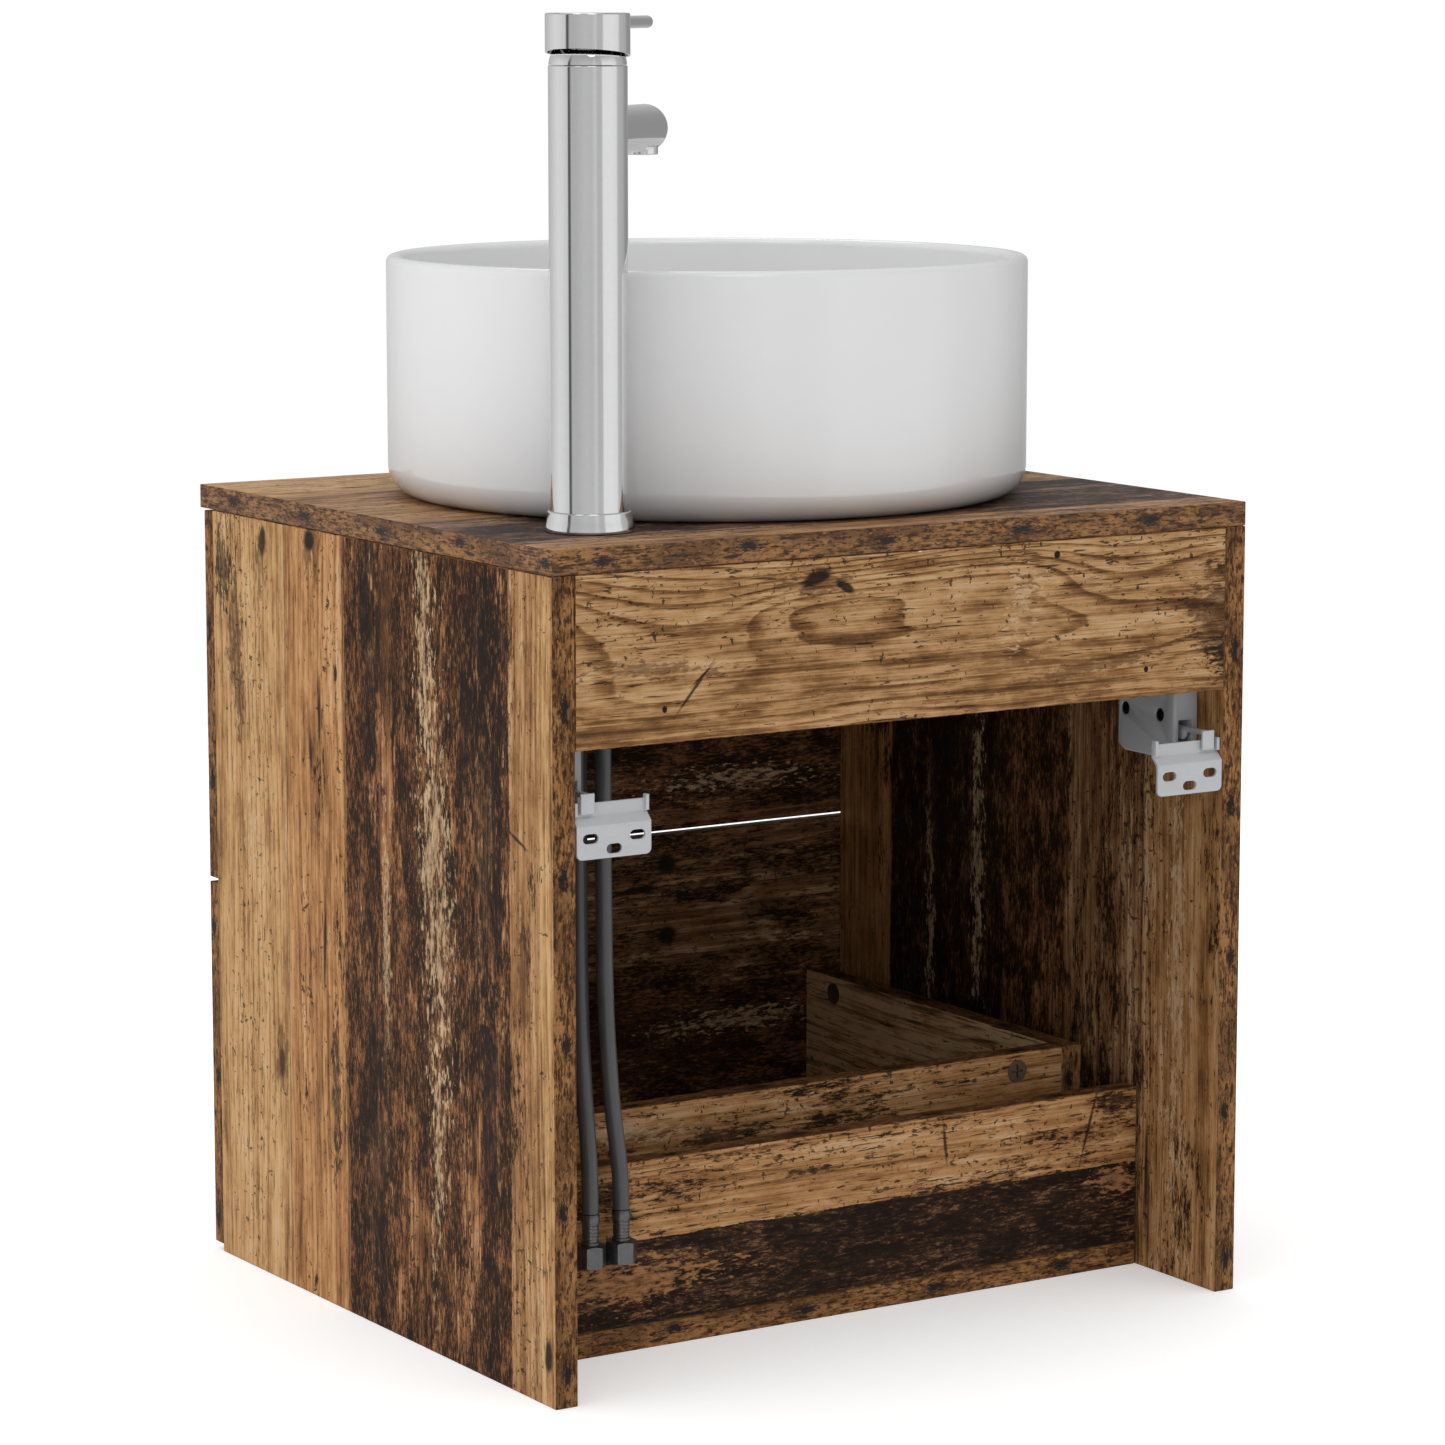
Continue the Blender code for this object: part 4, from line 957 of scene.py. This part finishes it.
def hex_nut(name, across_flats, bore, low, high, centre, finish, turn=0.0):
    """A hexagonal nut with turned chamfers: a hexagon cut by a double cone."""
    corner = across_flats / math.sqrt(3)
    shape = bmesh.new()
    bmesh.ops.create_cone(shape, cap_ends=True, segments=6, radius1=corner, radius2=corner,
                          depth=high - low)
    bmesh.ops.rotate(shape, verts=shape.verts[:], matrix=Matrix.Rotation(turn + math.pi / 6, 3, "Z"))
    bmesh.ops.translate(shape, verts=shape.verts[:], vec=(centre.x, centre.y, (low + high) / 2))
    mesh = bpy.data.meshes.new(name)
    shape.to_mesh(mesh)
    shape.free()
    mesh.materials.append(FINISH[finish])
    nut = bpy.data.objects.new(name, mesh)
    scene.collection.objects.link(nut)
    foot = Vector((centre.x, centre.y, 0.0))
    slim = across_flats / 2
    drop = (corner - slim) * 0.55
    dome = [(0, low), (slim, low), (corner, low + drop), (corner, high - drop), (slim, high), (0, high)]
    cut(nut, turned("nut_dome", dome, foot, finish, 64, closed=False), "INTERSECT")
    hole = [(0, low - 0.01), (bore, low - 0.01), (bore, high + 0.01), (0, high + 0.01)]
    return cut(nut, turned("nut_hole", hole, foot, finish, 48, closed=False))


def ferrule_outline(low, high):
    """A plain foot, four crimped rings and a plain top with a small chamfer."""
    wide, mid, slim = 0.0057, 0.0051, 0.0048
    outline = [(0, low), (wide, low), (wide, low + 0.0014), (slim, low + 0.0022)]
    for i in range(4):
        start = low + 0.0034 + 0.0022 * i
        outline += [(slim, start), (mid, start + 0.0004), (mid, start + 0.0014), (slim, start + 0.0018)]
    return outline + [(wide, high - 0.0052), (wide, high - 0.0007), (0.0053, high), (0, high)]


def make_hose(side, route):
    """One hose along its route, with its ferrule and nut."""
    curve = bpy.data.curves.new(f"supply_hose_{side}", "CURVE")
    curve.dimensions = "3D"
    curve.bevel_depth = HOSE_R
    curve.bevel_resolution = 7
    curve.use_fill_caps = True
    points = smooth_route(route, 0.010)
    spline = curve.splines.new("POLY")
    spline.points.add(len(points) - 1)
    for target, point in zip(spline.points, points):
        target.co = (*point, 1.0)
    curve.materials.append(FINISH["hose"])
    hose = bpy.data.objects.new(f"supply_hose_{side}", curve)
    scene.collection.objects.link(hose)
    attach(hose, "cabinet")
    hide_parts(f"hose_{side}")
    end = points[-1]
    foot = Vector((end.x, end.y, 0.0))
    outline = ferrule_outline(FERRULE_LOW, FERRULE_HIGH)
    ferrule = turned(f"ferrule_{side}", outline, foot, "dark nickel", 48, closed=False)
    own(ferrule, "cabinet", "brass_nickel", f"hose_ferrule_{side}")
    nut = hex_nut(f"swivel_nut_{side}", NUT_FLATS, NUT_BORE, NUT_LOW, NUT_HIGH, end, "dark nickel", NUT_TURN)
    top = NUT_LOW + SOCKET_DEPTH
    socket = [(0, NUT_LOW - 0.002), (SOCKET_R, NUT_LOW - 0.002), (SOCKET_R, top), (0, top)]
    cut(nut, turned("socket", socket, foot, "dark nickel", 48, closed=False))
    own(nut, "cabinet", "brass_nickel", f"hose_nut_{side}")


for side, route in HOSE_ROUTES.items():
    make_hose(side, route)

# %% [markdown]
# ## The basin
# The bowl is slip-cast and glazed. Its wall is straight, its foot and rim are rounded by the
# glaze, and inside a large radius leads to a floor that falls to the waste. A finer profile
# than the solid's, turned in more steps, gives clean reflections along the rim.

# %% Basin
basin_low, basin_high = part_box("basin")
BASIN = Vector(((basin_low.x + basin_high.x) / 2, (basin_low.y + basin_high.y) / 2, basin_low.z))
BASIN_R = 0.2015
BASIN_HEIGHT = basin_high.z - basin_low.z
BASIN_WALL = 0.0095
BASIN_FLOOR = 0.019


def basin_outline():
    """Foot, outer wall, rounded rim, inner wall, large inner radius, floor and waste hole."""
    lip, foot, corner, hole = 0.0045, 0.019, 0.055, 0.0225
    inner, floor = BASIN_R - BASIN_WALL, BASIN_FLOOR
    outline = [(hole, 0.0), (BASIN_R - foot, 0.0)]
    outline += arc((BASIN_R - foot, foot), foot, -85, 0, 16)
    outline += arc((BASIN_R - lip, BASIN_HEIGHT - lip), lip, 0, 90, 9)
    outline += arc((inner + lip, BASIN_HEIGHT - lip), lip, 95, 180, 9)
    outline += arc((inner - corner, floor + corner), corner, 0, -88, 18)
    outline += [(hole + 0.006, floor)] + arc((hole + 0.002, floor - 0.002), 0.002, 90, 180, 4)
    return outline


basin = turned("wash_basin", basin_outline(), BASIN, "glaze", 160)
own(basin, "cabinet", "ceramic_white", "basin")

# %% [markdown]
# ## Waste
# A push-open waste closes the bowl: a chrome flange, a domed plug, a long threaded tail under
# the bowl with a sealing washer and a back nut. The thread is a spiral curve with a small
# triangle as its section, made in a tree of its own that also serves the tap's shank.


# %% Geometry Nodes: thread
def make_thread_tree():
    """A small profile swept along a spiral."""
    tree = bpy.data.node_groups.new("thread", "GeometryNodeTree")
    tree.interface.new_socket("Profile", in_out="INPUT", socket_type="NodeSocketGeometry")
    for label in ("Turns", "Radius", "Length"):
        tree.interface.new_socket(label, in_out="INPUT", socket_type="NodeSocketFloat")
    tree.interface.new_socket("Finish", in_out="INPUT", socket_type="NodeSocketMaterial")
    tree.interface.new_socket("Thread", in_out="OUTPUT", socket_type="NodeSocketGeometry")
    given = tree.nodes.new("NodeGroupInput")
    out = tree.nodes.new("NodeGroupOutput")
    r = Recipe(tree)
    section = r.add("GeometryNodeMeshToCurve", {0: given.outputs["Profile"]})
    spiral = r.add("GeometryNodeCurveSpiral", {"Resolution": 32, "Rotations": given.outputs["Turns"],
                                               "Start Radius": given.outputs["Radius"],
                                               "End Radius": given.outputs["Radius"],
                                               "Height": given.outputs["Length"]})
    upright = r.add("GeometryNodeSetCurveNormal", {"Curve": spiral}, mode="Z_UP")
    skin = r.add("GeometryNodeCurveToMesh", {"Curve": upright, "Profile Curve": section, "Fill Caps": True})
    real = r.add("GeometryNodeRealizeInstances", {"Geometry": skin})
    dressed = r.add("GeometryNodeSetMaterial", {"Geometry": real, "Material": given.outputs["Finish"]})
    tree.links.new(dressed, out.inputs["Thread"])
    return tree


THREADING = make_thread_tree()
PITCH = 0.0015
SUNK = 0.0004             # how deep the thread's foot sits in the piece that carries it
print(f"tree: {THREADING.name}, {len(THREADING.nodes)} nodes")


def add_thread(piece, radius, low, high, centre, finish):
    """Join a raised thread onto a turned piece between two heights."""
    deep, half_foot = PITCH * 0.42, PITCH * 0.38
    section = [(-SUNK, -half_foot, 0.0), (deep, 0.0, 0.0), (-SUNK, half_foot, 0.0)]
    mesh = bpy.data.meshes.new("thread")
    mesh.from_pydata(section, [(0, 1), (1, 2), (2, 0)], [])
    thread = bpy.data.objects.new("thread", mesh)
    scene.collection.objects.link(thread)
    apply_tree(thread, THREADING, {"Turns": (high - low) / PITCH, "Radius": radius - deep,
                                   "Length": high - low, "Finish": FINISH[finish]})
    thread.data.transform(Matrix.Translation((centre.x, centre.y, low)))
    shape = bmesh.new()
    shape.from_mesh(thread.data)
    bmesh.ops.remove_doubles(shape, verts=shape.verts[:], dist=WELD)
    bmesh.ops.recalc_face_normals(shape, faces=shape.faces[:])
    shape.from_mesh(piece.data)
    shape.to_mesh(piece.data)
    shape.free()
    bpy.data.objects.remove(thread)
    piece.data.shade_smooth()
    piece.data.set_sharp_from_angle(angle=math.radians(35))


# %% Waste fitting
WASTE_AXIS = Vector((BASIN.x, BASIN.y, 0.0))
seat = basin_low.z + BASIN_FLOOR + GAP
waste_tail = 0.0206       # radius at the root of the thread
outline = [(0.0170, seat + 0.0030), (0.0200, seat + 0.0029)]
outline += arc((0.0300, seat + 0.0012), 0.0015, 75, -30, 6)
outline += [(0.0313, seat), (0.0210, seat), (0.0210, seat - 0.026), (waste_tail, seat - 0.027)]
outline += [(waste_tail, 0.442), (0.0196, 0.440), (0.0160, 0.437), (0.0160, 0.400)]
outline += [(0.0138, 0.400), (0.0138, 0.440), (0.0170, 0.444)]
waste = turned("waste_fitting", outline, WASTE_AXIS, "chrome", 72)
add_thread(waste, 0.0210, 0.446, 0.4940, WASTE_AXIS, "chrome")
own(waste, "cabinet", "chrome", "waste_body")
plug_z = seat + 0.0034
outline = [(0, 0.466), (0.0030, 0.466), (0.0030, plug_z - 0.002), (0.0150, plug_z - 0.002)]
outline += [(0.0152, plug_z), (0.0283, plug_z)]
outline += arc((0.0278, plug_z + 0.0014), 0.0012, -60, 70, 6)
outline += [(0.0250, plug_z + 0.0045), (0.0200, plug_z + 0.0054), (0.0100, plug_z + 0.0063)]
outline += [(0, plug_z + 0.0066)]
plug = turned("waste_cap", outline, WASTE_AXIS, "chrome", 96, closed=False)
own(plug, "waste_plug", "chrome", "waste_plug")
low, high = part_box("waste_washer")[0].z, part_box("waste_washer")[1].z
outline = [(0.0213, low), (0.0292, low), (0.0300, low + 0.0008)]
outline += [(0.0300, high - 0.0008), (0.0292, high), (0.0213, high)]
washer = turned("waste_seal", outline, WASTE_AXIS, "rubber", 72)
own(washer, "cabinet", "black_rubber", "waste_washer")
low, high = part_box("waste_nut")[0].z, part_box("waste_nut")[1].z
back_nut = hex_nut("waste_back_nut", 0.0500, 0.0213, low, high, WASTE_AXIS, "chrome", math.pi / 6)
own(back_nut, "cabinet", "chrome", "waste_nut")

# %% [markdown]
# ## The tap
# A tall mixer: a flared base ring, a plain column, a domed collar over the cartridge, and a
# lever cap whose lower edge slants, low under the lever. The spout leaves the column at a
# right angle and ends in a rounded nose, with the aerator let into its underside.

# %% Tap body
tap_low, tap_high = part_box("tap_body")
TAP_AXIS = Vector(((tap_low.x + tap_high.x) / 2, (tap_low.y + tap_high.y) / 2, 0.0))
SPOUT_AIM = (WASTE_AXIS - TAP_AXIS).normalized()
COLUMN_R = (tap_high.x - tap_low.x) / 2
FOOT, SEAM = tap_low.z, tap_high.z
DOME_RISE = 0.018         # height of the collar's oval curve if it went on to the axis
flange = [(COLUMN_R + GAP, FOOT), (0.0262, FOOT)] + arc((0.0261, FOOT + 0.0005), 0.0005, -80, 0, 4)
flange += [(0.0264, FOOT + 0.0030), (0.0256, FOOT + 0.0060), (0.0248, FOOT + 0.0105)]
flange += arc((0.0240, FOOT + 0.0112), 0.0008, 0, 80, 5) + [(COLUMN_R + GAP, FOOT + 0.0120)]
base_ring = turned("tap_base_ring", flange, TAP_AXIS, "chrome", 96)
own(base_ring, "cabinet", "chrome", "tap_flange")
column = [(0, FOOT), (COLUMN_R, FOOT), (COLUMN_R, SEAM - 0.0006)]
column += arc((COLUMN_R - 0.0006, SEAM - 0.0006), 0.0006, 15, 90, 4)
column += [(0.0140, SEAM), (0.0140, SEAM - 0.034), (0, SEAM - 0.034)]
tap_column = turned("tap_column", column, TAP_AXIS, "chrome", 128, closed=False)
own(tap_column, "cabinet", "chrome", "tap_body")
round_in = arc((0, 0), 1.0, 1, 50, 20)
dome = [(0.0140, SEAM + GAP)] + [((COLUMN_R - GAP) * x, SEAM + DOME_RISE * y) for x, y in round_in]
dome += [(0.0140, dome[-1][1])]
collar = turned("tap_dome", dome, TAP_AXIS, "chrome", 128)
own(collar, "cabinet", "chrome", "tap_collar")

# %% Spout and aerator
SPOUT_Z, SPOUT_R, SPOUT_REACH = 0.7354, 0.0143, 0.122
start = TAP_AXIS + Vector((0, 0, SPOUT_Z))
nose = arc((0, SPOUT_REACH - SPOUT_R), SPOUT_R, 0, 90, 16)[:-1]
spout = turned("tap_spout_tube", [(0, 0.010), (SPOUT_R, 0.010)] + nose + [(0, SPOUT_REACH)], start, "chrome",
               96, closed=False, aim=SPOUT_AIM)
saddle = turned("saddle", [(0, 0.70), (COLUMN_R + GAP, 0.70), (COLUMN_R + GAP, 0.77), (0, 0.77)],
                TAP_AXIS, "chrome", 128, closed=False)
cut(spout, saddle)
outlet = TAP_AXIS + SPOUT_AIM * (SPOUT_REACH - 0.0185)
mouth = SPOUT_Z - SPOUT_R
outline = [(0, mouth - 0.01), (0.0100, mouth - 0.01), (0.0100, mouth + 0.01), (0, mouth + 0.01)]
hole = turned("mouth", outline, outlet, "chrome", 64, closed=False)
cut(spout, hole)
own(spout, "cabinet", "chrome", "tap_spout")
aerator = [(0.0060, mouth - 0.0010), (0.0066, mouth - 0.0015), (0.0092, mouth - 0.0015)]
aerator += [(0.0097, mouth - 0.0010), (0.0097, mouth + 0.0095), (0.0060, mouth + 0.0095)]
aerator_ring = turned("aerator_ring", aerator, outlet, "chrome", 64)
own(aerator_ring, "cabinet", "chrome", "tap_aerator")

# %% Lever cap
CAP_R, CAP_TOP = 0.0248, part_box("tap_cap")[1].z
CAP_SLANT = math.radians(7.4)
SLANT_Z = 0.7808          # where the slanted edge crosses the axis
LEVER_R, LEVER_Z, LEVER_REACH, LEVER_SOCKET = 0.00375, 0.7985, 0.115, 0.014
hollow, ceiling = CAP_R - 0.0014, SEAM + 0.0198
cap_outline = [(hollow, SEAM), (CAP_R, SEAM)] + arc((CAP_R - 0.0012, CAP_TOP - 0.0012), 0.0012, 0, 90, 6)
cap_outline += [(0, CAP_TOP), (0, ceiling), (hollow, ceiling), (hollow, SEAM)]
cap = turned("lever_cap", cap_outline, TAP_AXIS, "chrome", 128, closed=False)
shape = bmesh.new()
bmesh.ops.create_cube(shape, size=1.0, matrix=Matrix.Diagonal((0.08, 0.08, 0.02, 1.0)))
bmesh.ops.translate(shape, vec=(0, 0, -0.01), verts=shape.verts[:])
wedge = bpy.data.objects.new("wedge", bpy.data.meshes.new("wedge"))
shape.to_mesh(wedge.data)
shape.free()
level = Matrix.Rotation(math.atan2(SPOUT_AIM.y, SPOUT_AIM.x), 4, "Z") @ Matrix.Rotation(CAP_SLANT, 4, "Y")
wedge.data.transform(Matrix.Translation(TAP_AXIS + Vector((0, 0, SLANT_Z))) @ level)
scene.collection.objects.link(wedge)
cut(cap, wedge)
socket_start = TAP_AXIS + SPOUT_AIM * LEVER_SOCKET + Vector((0, 0, LEVER_Z))
socket = turned("socket", [(0, 0), (LEVER_R + GAP, 0), (LEVER_R + GAP, 0.03), (0, 0.03)], socket_start,
                "chrome", 48, closed=False, aim=SPOUT_AIM)
cut(cap, socket)
own(cap, "tap_handle", "chrome", "tap_cap")
length = LEVER_REACH - LEVER_SOCKET - GAP
lever_outline = [(0, 0), (LEVER_R, 0)] + arc((LEVER_R - 0.0010, length - 0.0010), 0.0010, 0, 90, 6)
lever_outline += [(0, length)]
lever = turned("lever_pin", lever_outline, socket_start + SPOUT_AIM * GAP, "chrome", 48, closed=False,
               aim=SPOUT_AIM)
own(lever, "tap_handle", "chrome", "tap_lever")

# %% Shank, washer and nut under the top
shank_low, shank_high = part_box("tap_shank")[0].z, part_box("tap_shank")[1].z
shank = turned("threaded_shank", [(0.0141, shank_low), (0.0158, shank_low), (0.0162, shank_low + 0.0006),
                                  (0.0162, shank_high), (0.0141, shank_high)], TAP_AXIS, "nickel", 72)
add_thread(shank, 0.0168, shank_low + 0.0010, shank_high - 0.0160, TAP_AXIS, "nickel")
own(shank, "cabinet", "brass_nickel", "tap_shank")
low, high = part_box("tap_washer")[0].z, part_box("tap_washer")[1].z
outline = [(0.0171, low), (0.0234, low), (0.0240, low + 0.0006)]
outline += [(0.0240, high - 0.0006), (0.0234, high), (0.0171, high)]
tap_seal = turned("tap_seal", outline, TAP_AXIS, "rubber", 72)
own(tap_seal, "cabinet", "black_rubber", "tap_washer")
low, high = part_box("tap_nut")[0].z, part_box("tap_nut")[1].z
lock_nut = hex_nut("tap_lock_nut", 0.0380, 0.0171, low, high, TAP_AXIS, "nickel", math.pi / 6)
own(lock_nut, "cabinet", "brass_nickel", "tap_nut")

# %% [markdown]
# ## Hangers
# Each side has a painted steel housing with two screws, a carriage, a hook and the plate that
# would be screwed to the wall. Pressed sheet has no sharp corners, so a copy of each CAD mesh
# is welded, cleaned of flat seams and given a small bevel.


# %% Softened copies
def softened(node, name, finish, width):
    """A welded copy of a CAD node with its sharp edges rounded."""
    shape = bmesh.new()
    shape.from_mesh(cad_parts[node].data)
    bmesh.ops.remove_doubles(shape, verts=shape.verts[:], dist=WELD)
    bmesh.ops.dissolve_limit(shape, angle_limit=math.radians(1.0), verts=shape.verts[:],
                             edges=shape.edges[:])
    mesh = bpy.data.meshes.new(name)
    shape.to_mesh(mesh)
    shape.free()
    mesh.materials.clear()
    mesh.materials.append(FINISH[finish])
    piece = bpy.data.objects.new(name, mesh)
    scene.collection.objects.link(piece)
    bevel = piece.modifiers.new("rounding", "BEVEL")
    bevel.width = width
    bevel.segments = 2
    bevel.limit_method = "ANGLE"
    bevel.angle_limit = math.radians(40)
    bake_modifiers(piece)
    return tidy_mesh(piece, 50.0)


for side in SIDES:
    # The housing's darker grey is painted shade.
    housing = softened(f"hanger_housing_{side}", f"housing_{side}", "housing", 0.0004)
    own(housing, "cabinet", "hanger_white", f"hanger_housing_{side}")
    hook = softened(f"hanger_hook_{side}", f"hook_{side}", "paint", 0.0003)
    own(hook, f"hanger_hook_{side}", "hanger_white", f"hanger_hook_{side}")
    plate = softened(f"wall_plate_{side}", f"plate_{side}", "paint", 0.00035)
    own(plate, f"hanger_hook_{side}", "hanger_white", f"wall_plate_{side}")
dress([f"hanger_carriage_{side}" for side in SIDES], "steel")
dress([f"hanger_screw_{side}_{number}" for side in SIDES for number in (1, 2)], "screw")
dress([f"drawer_cam_{end}_{side}" for end in ("front", "back") for side in SIDES], "cap")

# %% [markdown]
# ## Balls in the drawer slides
# The rails run on rows of small steel balls held between their lips. They repeat along a
# line, so a tree places them: Mesh Line gives the points and an icosphere stands on each.
# The balls between the middle and inner rails, and between the outer and middle rails,
# all travel with the middle rail.

# %% Geometry Nodes: ball rows
BALL_PITCH, BALL_R = 0.0060, 0.00066
ROW_MARGIN = 0.012        # how far a row stays from the rail's ends


def make_ball_tree():
    """Rows of balls along +Y: one ball per point of a line, one line per given point."""
    tree = bpy.data.node_groups.new("ball rows", "GeometryNodeTree")
    tree.interface.new_socket("Rows", in_out="INPUT", socket_type="NodeSocketGeometry")
    tree.interface.new_socket("Radius", in_out="INPUT", socket_type="NodeSocketFloat")
    tree.interface.new_socket("Count", in_out="INPUT", socket_type="NodeSocketInt")
    tree.interface.new_socket("Pitch", in_out="INPUT", socket_type="NodeSocketFloat")
    tree.interface.new_socket("Finish", in_out="INPUT", socket_type="NodeSocketMaterial")
    tree.interface.new_socket("Balls", in_out="OUTPUT", socket_type="NodeSocketGeometry")
    given = tree.nodes.new("NodeGroupInput")
    out = tree.nodes.new("NodeGroupOutput")
    r = Recipe(tree)
    step = r.add("ShaderNodeCombineXYZ", {1: given.outputs["Pitch"]})
    line = r.add("GeometryNodeMeshLine", {"Count": given.outputs["Count"], "Offset": step})
    ball = r.add("GeometryNodeMeshIcoSphere", {"Radius": given.outputs["Radius"], "Subdivisions": 2})
    row = r.add("GeometryNodeInstanceOnPoints", {"Points": line, "Instance": ball})
    rows = r.add("GeometryNodeInstanceOnPoints", {"Points": given.outputs["Rows"], "Instance": row})
    real = r.add("GeometryNodeRealizeInstances", {"Geometry": rows})
    dressed = r.add("GeometryNodeSetMaterial", {"Geometry": real, "Material": given.outputs["Finish"]})
    tree.links.new(dressed, out.inputs["Balls"])
    return tree


BALLS = make_ball_tree()
for side, sign in (("left", 1), ("right", -1)):
    rail_low, rail_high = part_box(f"slide_middle_{side}")
    middle = (rail_low.z + rail_high.z) / 2
    start_y = rail_low.y + ROW_MARGIN
    count = int((rail_high.y - rail_low.y - 2 * ROW_MARGIN) / BALL_PITCH)
    rows = [(sign * 0.2273, start_y, middle + 0.0129 * end) for end in (1, -1)]
    rows += [(sign * 0.2290, start_y, middle + 0.01555 * end) for end in (1, -1)]
    mesh = bpy.data.meshes.new(f"slide_balls_{side}")
    mesh.from_pydata(rows, [], [])
    balls = bpy.data.objects.new(f"slide_balls_{side}", mesh)
    scene.collection.objects.link(balls)
    apply_tree(balls, BALLS, {"Radius": BALL_R, "Count": count, "Pitch": BALL_PITCH,
                              "Finish": FINISH["steel"]})
    balls.data.shade_smooth()
    own(balls, f"slide_{side}", "zinc_steel")

# %% [markdown]
# ## Floor and light
# A plain white floor and a white surround, as in a studio for catalogue pictures. Seen from
# the wall side there is a large soft lamp at the left, a weak one at the right and one overhead.
# The surround gives an even soft light. Only mirror-like rays find stripes and small round
# lamps in it, which draw the bright and dark bands on the chrome, and of the lamps only the
# one overhead shows in reflections. The camera itself sees plain white.

# %% Floor
FLOOR_R = 2.4
floor_mesh = bpy.data.meshes.new("studio_floor")
shape = bmesh.new()
bmesh.ops.create_circle(shape, cap_ends=True, segments=96, radius=FLOOR_R)
shape.to_mesh(floor_mesh)
shape.free()
floor = bpy.data.objects.new("studio_floor", floor_mesh)
scene.collection.objects.link(floor)
floor_finish, r, shader = new_material("studio_floor", Roughness=0.9, Emission_Strength=0.30,
                                       Emission_Color=(1.0, 1.0, 1.0, 1.0))
tone = r.noise(own_place(r), 3.0, 3.0, 3.0, 2.0)
r.feed(shader.inputs["Base Color"], r.mix(tone, (0.90, 0.90, 0.90), (0.93, 0.93, 0.93)))
shader.inputs["Specular IOR Level"].default_value = 0.0
floor_mesh.materials.append(floor_finish)
print(f"floor: {2 * FLOOR_R:.1f} m across")

# %% Surround and lamps
world = bpy.data.worlds.new("studio")
scene.world = world
world.use_nodes = True
r = Recipe(world.node_tree)
background = world.node_tree.nodes["Background"]
direction = r.add("ShaderNodeTexCoord", {}, output="Generated")
east, north, height = r.split(direction)
turn = r.math("ARCTAN2", north, east)
WALL_LIGHT = [            # (degrees round from +X, brightness)
    (-180, 0.52), (-165, 0.34), (-145, 0.34), (-120, 0.56), (-93, 0.58), (-60, 0.80),
    (-40, 0.92), (-21, 0.88), (-3, 0.76), (0, 0.12), (5, 0.12), (9, 0.56),
    (24, 0.57), (50, 0.66), (70, 0.64), (80, 0.76), (88, 0.60), (99, 0.62),
    (103, 0.98), (128, 1.00), (148, 0.94), (156, 0.60), (180, 0.52)]
stripes = r.ramp(r.math("MULTIPLY_ADD", turn, 1 / math.tau, 0.5),
                 [((a + 180) / 360, (v, v, v)) for a, v in WALL_LIGHT])
SPOTS = [(20, 55, 7), (74, 52, 9), (250, 50, 9)]      # degrees: round from +X, up, radius


def spot_glow(r, direction, round_x, up, radius):
    """1 inside a small round lamp high in the surround."""
    turn, lift = math.radians(round_x), math.radians(up)
    aim = (math.cos(turn) * math.cos(lift), math.sin(turn) * math.cos(lift), math.sin(lift))
    near = r.add("ShaderNodeVectorMath", {0: direction, 1: aim}, output="Value", operation="DOT_PRODUCT")
    return r.step(near, math.cos(math.radians(radius * 1.4)), math.cos(math.radians(radius)))


sky = r.step(height, 0.10, 0.80, 0.0, 1.0)
ground = r.step(height, -0.70, -0.15, 1.0, 0.0)
mirrored = r.add("ShaderNodeLightPath", {}, output="Is Glossy Ray")
ceiling = (0.48, 0.48, 0.48)
for spot in SPOTS:
    ceiling = r.mix(spot_glow(r, direction, *spot), ceiling, (2.6, 2.6, 2.6))
ceiling = r.mix(mirrored, (1.05, 1.05, 1.05), ceiling)
soft = r.step(east, -0.8, 0.8, 0.52, 0.75)
sides = r.mix(mirrored, r.join(soft, soft, soft), stripes)
wall = r.mix(sky, r.mix(ground, sides, (0.86, 0.86, 0.86)), ceiling)
seen = r.add("ShaderNodeLightPath", {}, output="Is Camera Ray")
r.feed(background.inputs["Color"], r.mix(seen, wall, (1.0, 1.0, 1.0)))
background.inputs["Strength"].default_value = 1.0


def soft_lamp(name, place, size, power):
    """A rectangular lamp aimed at the cabinet's middle."""
    data = bpy.data.lights.new(name, "AREA")
    data.shape = "RECTANGLE"
    data.size, data.size_y = size
    data.energy = power
    lamp = bpy.data.objects.new(name, data)
    lamp.location = place
    aim = Vector((0, 0, 0.35)) - Vector(place)
    lamp.rotation_euler = aim.to_track_quat("-Z", "Y").to_euler()
    lamp.visible_camera = False
    lamp.visible_glossy = name == "top_lamp"
    scene.collection.objects.link(lamp)
    print(f"{name}: {power} W")


soft_lamp("window_lamp", (3.0, -0.2, 1.8), (1.6, 2.2), 12.0)
soft_lamp("fill_lamp", (-1.4, 3.2, 1.6), (0.6, 2.2), 1.8)
soft_lamp("top_lamp", (0.3, 0.2, 3.4), (2.0, 2.0), 8.0)
scene.view_settings.view_transform = "Standard"
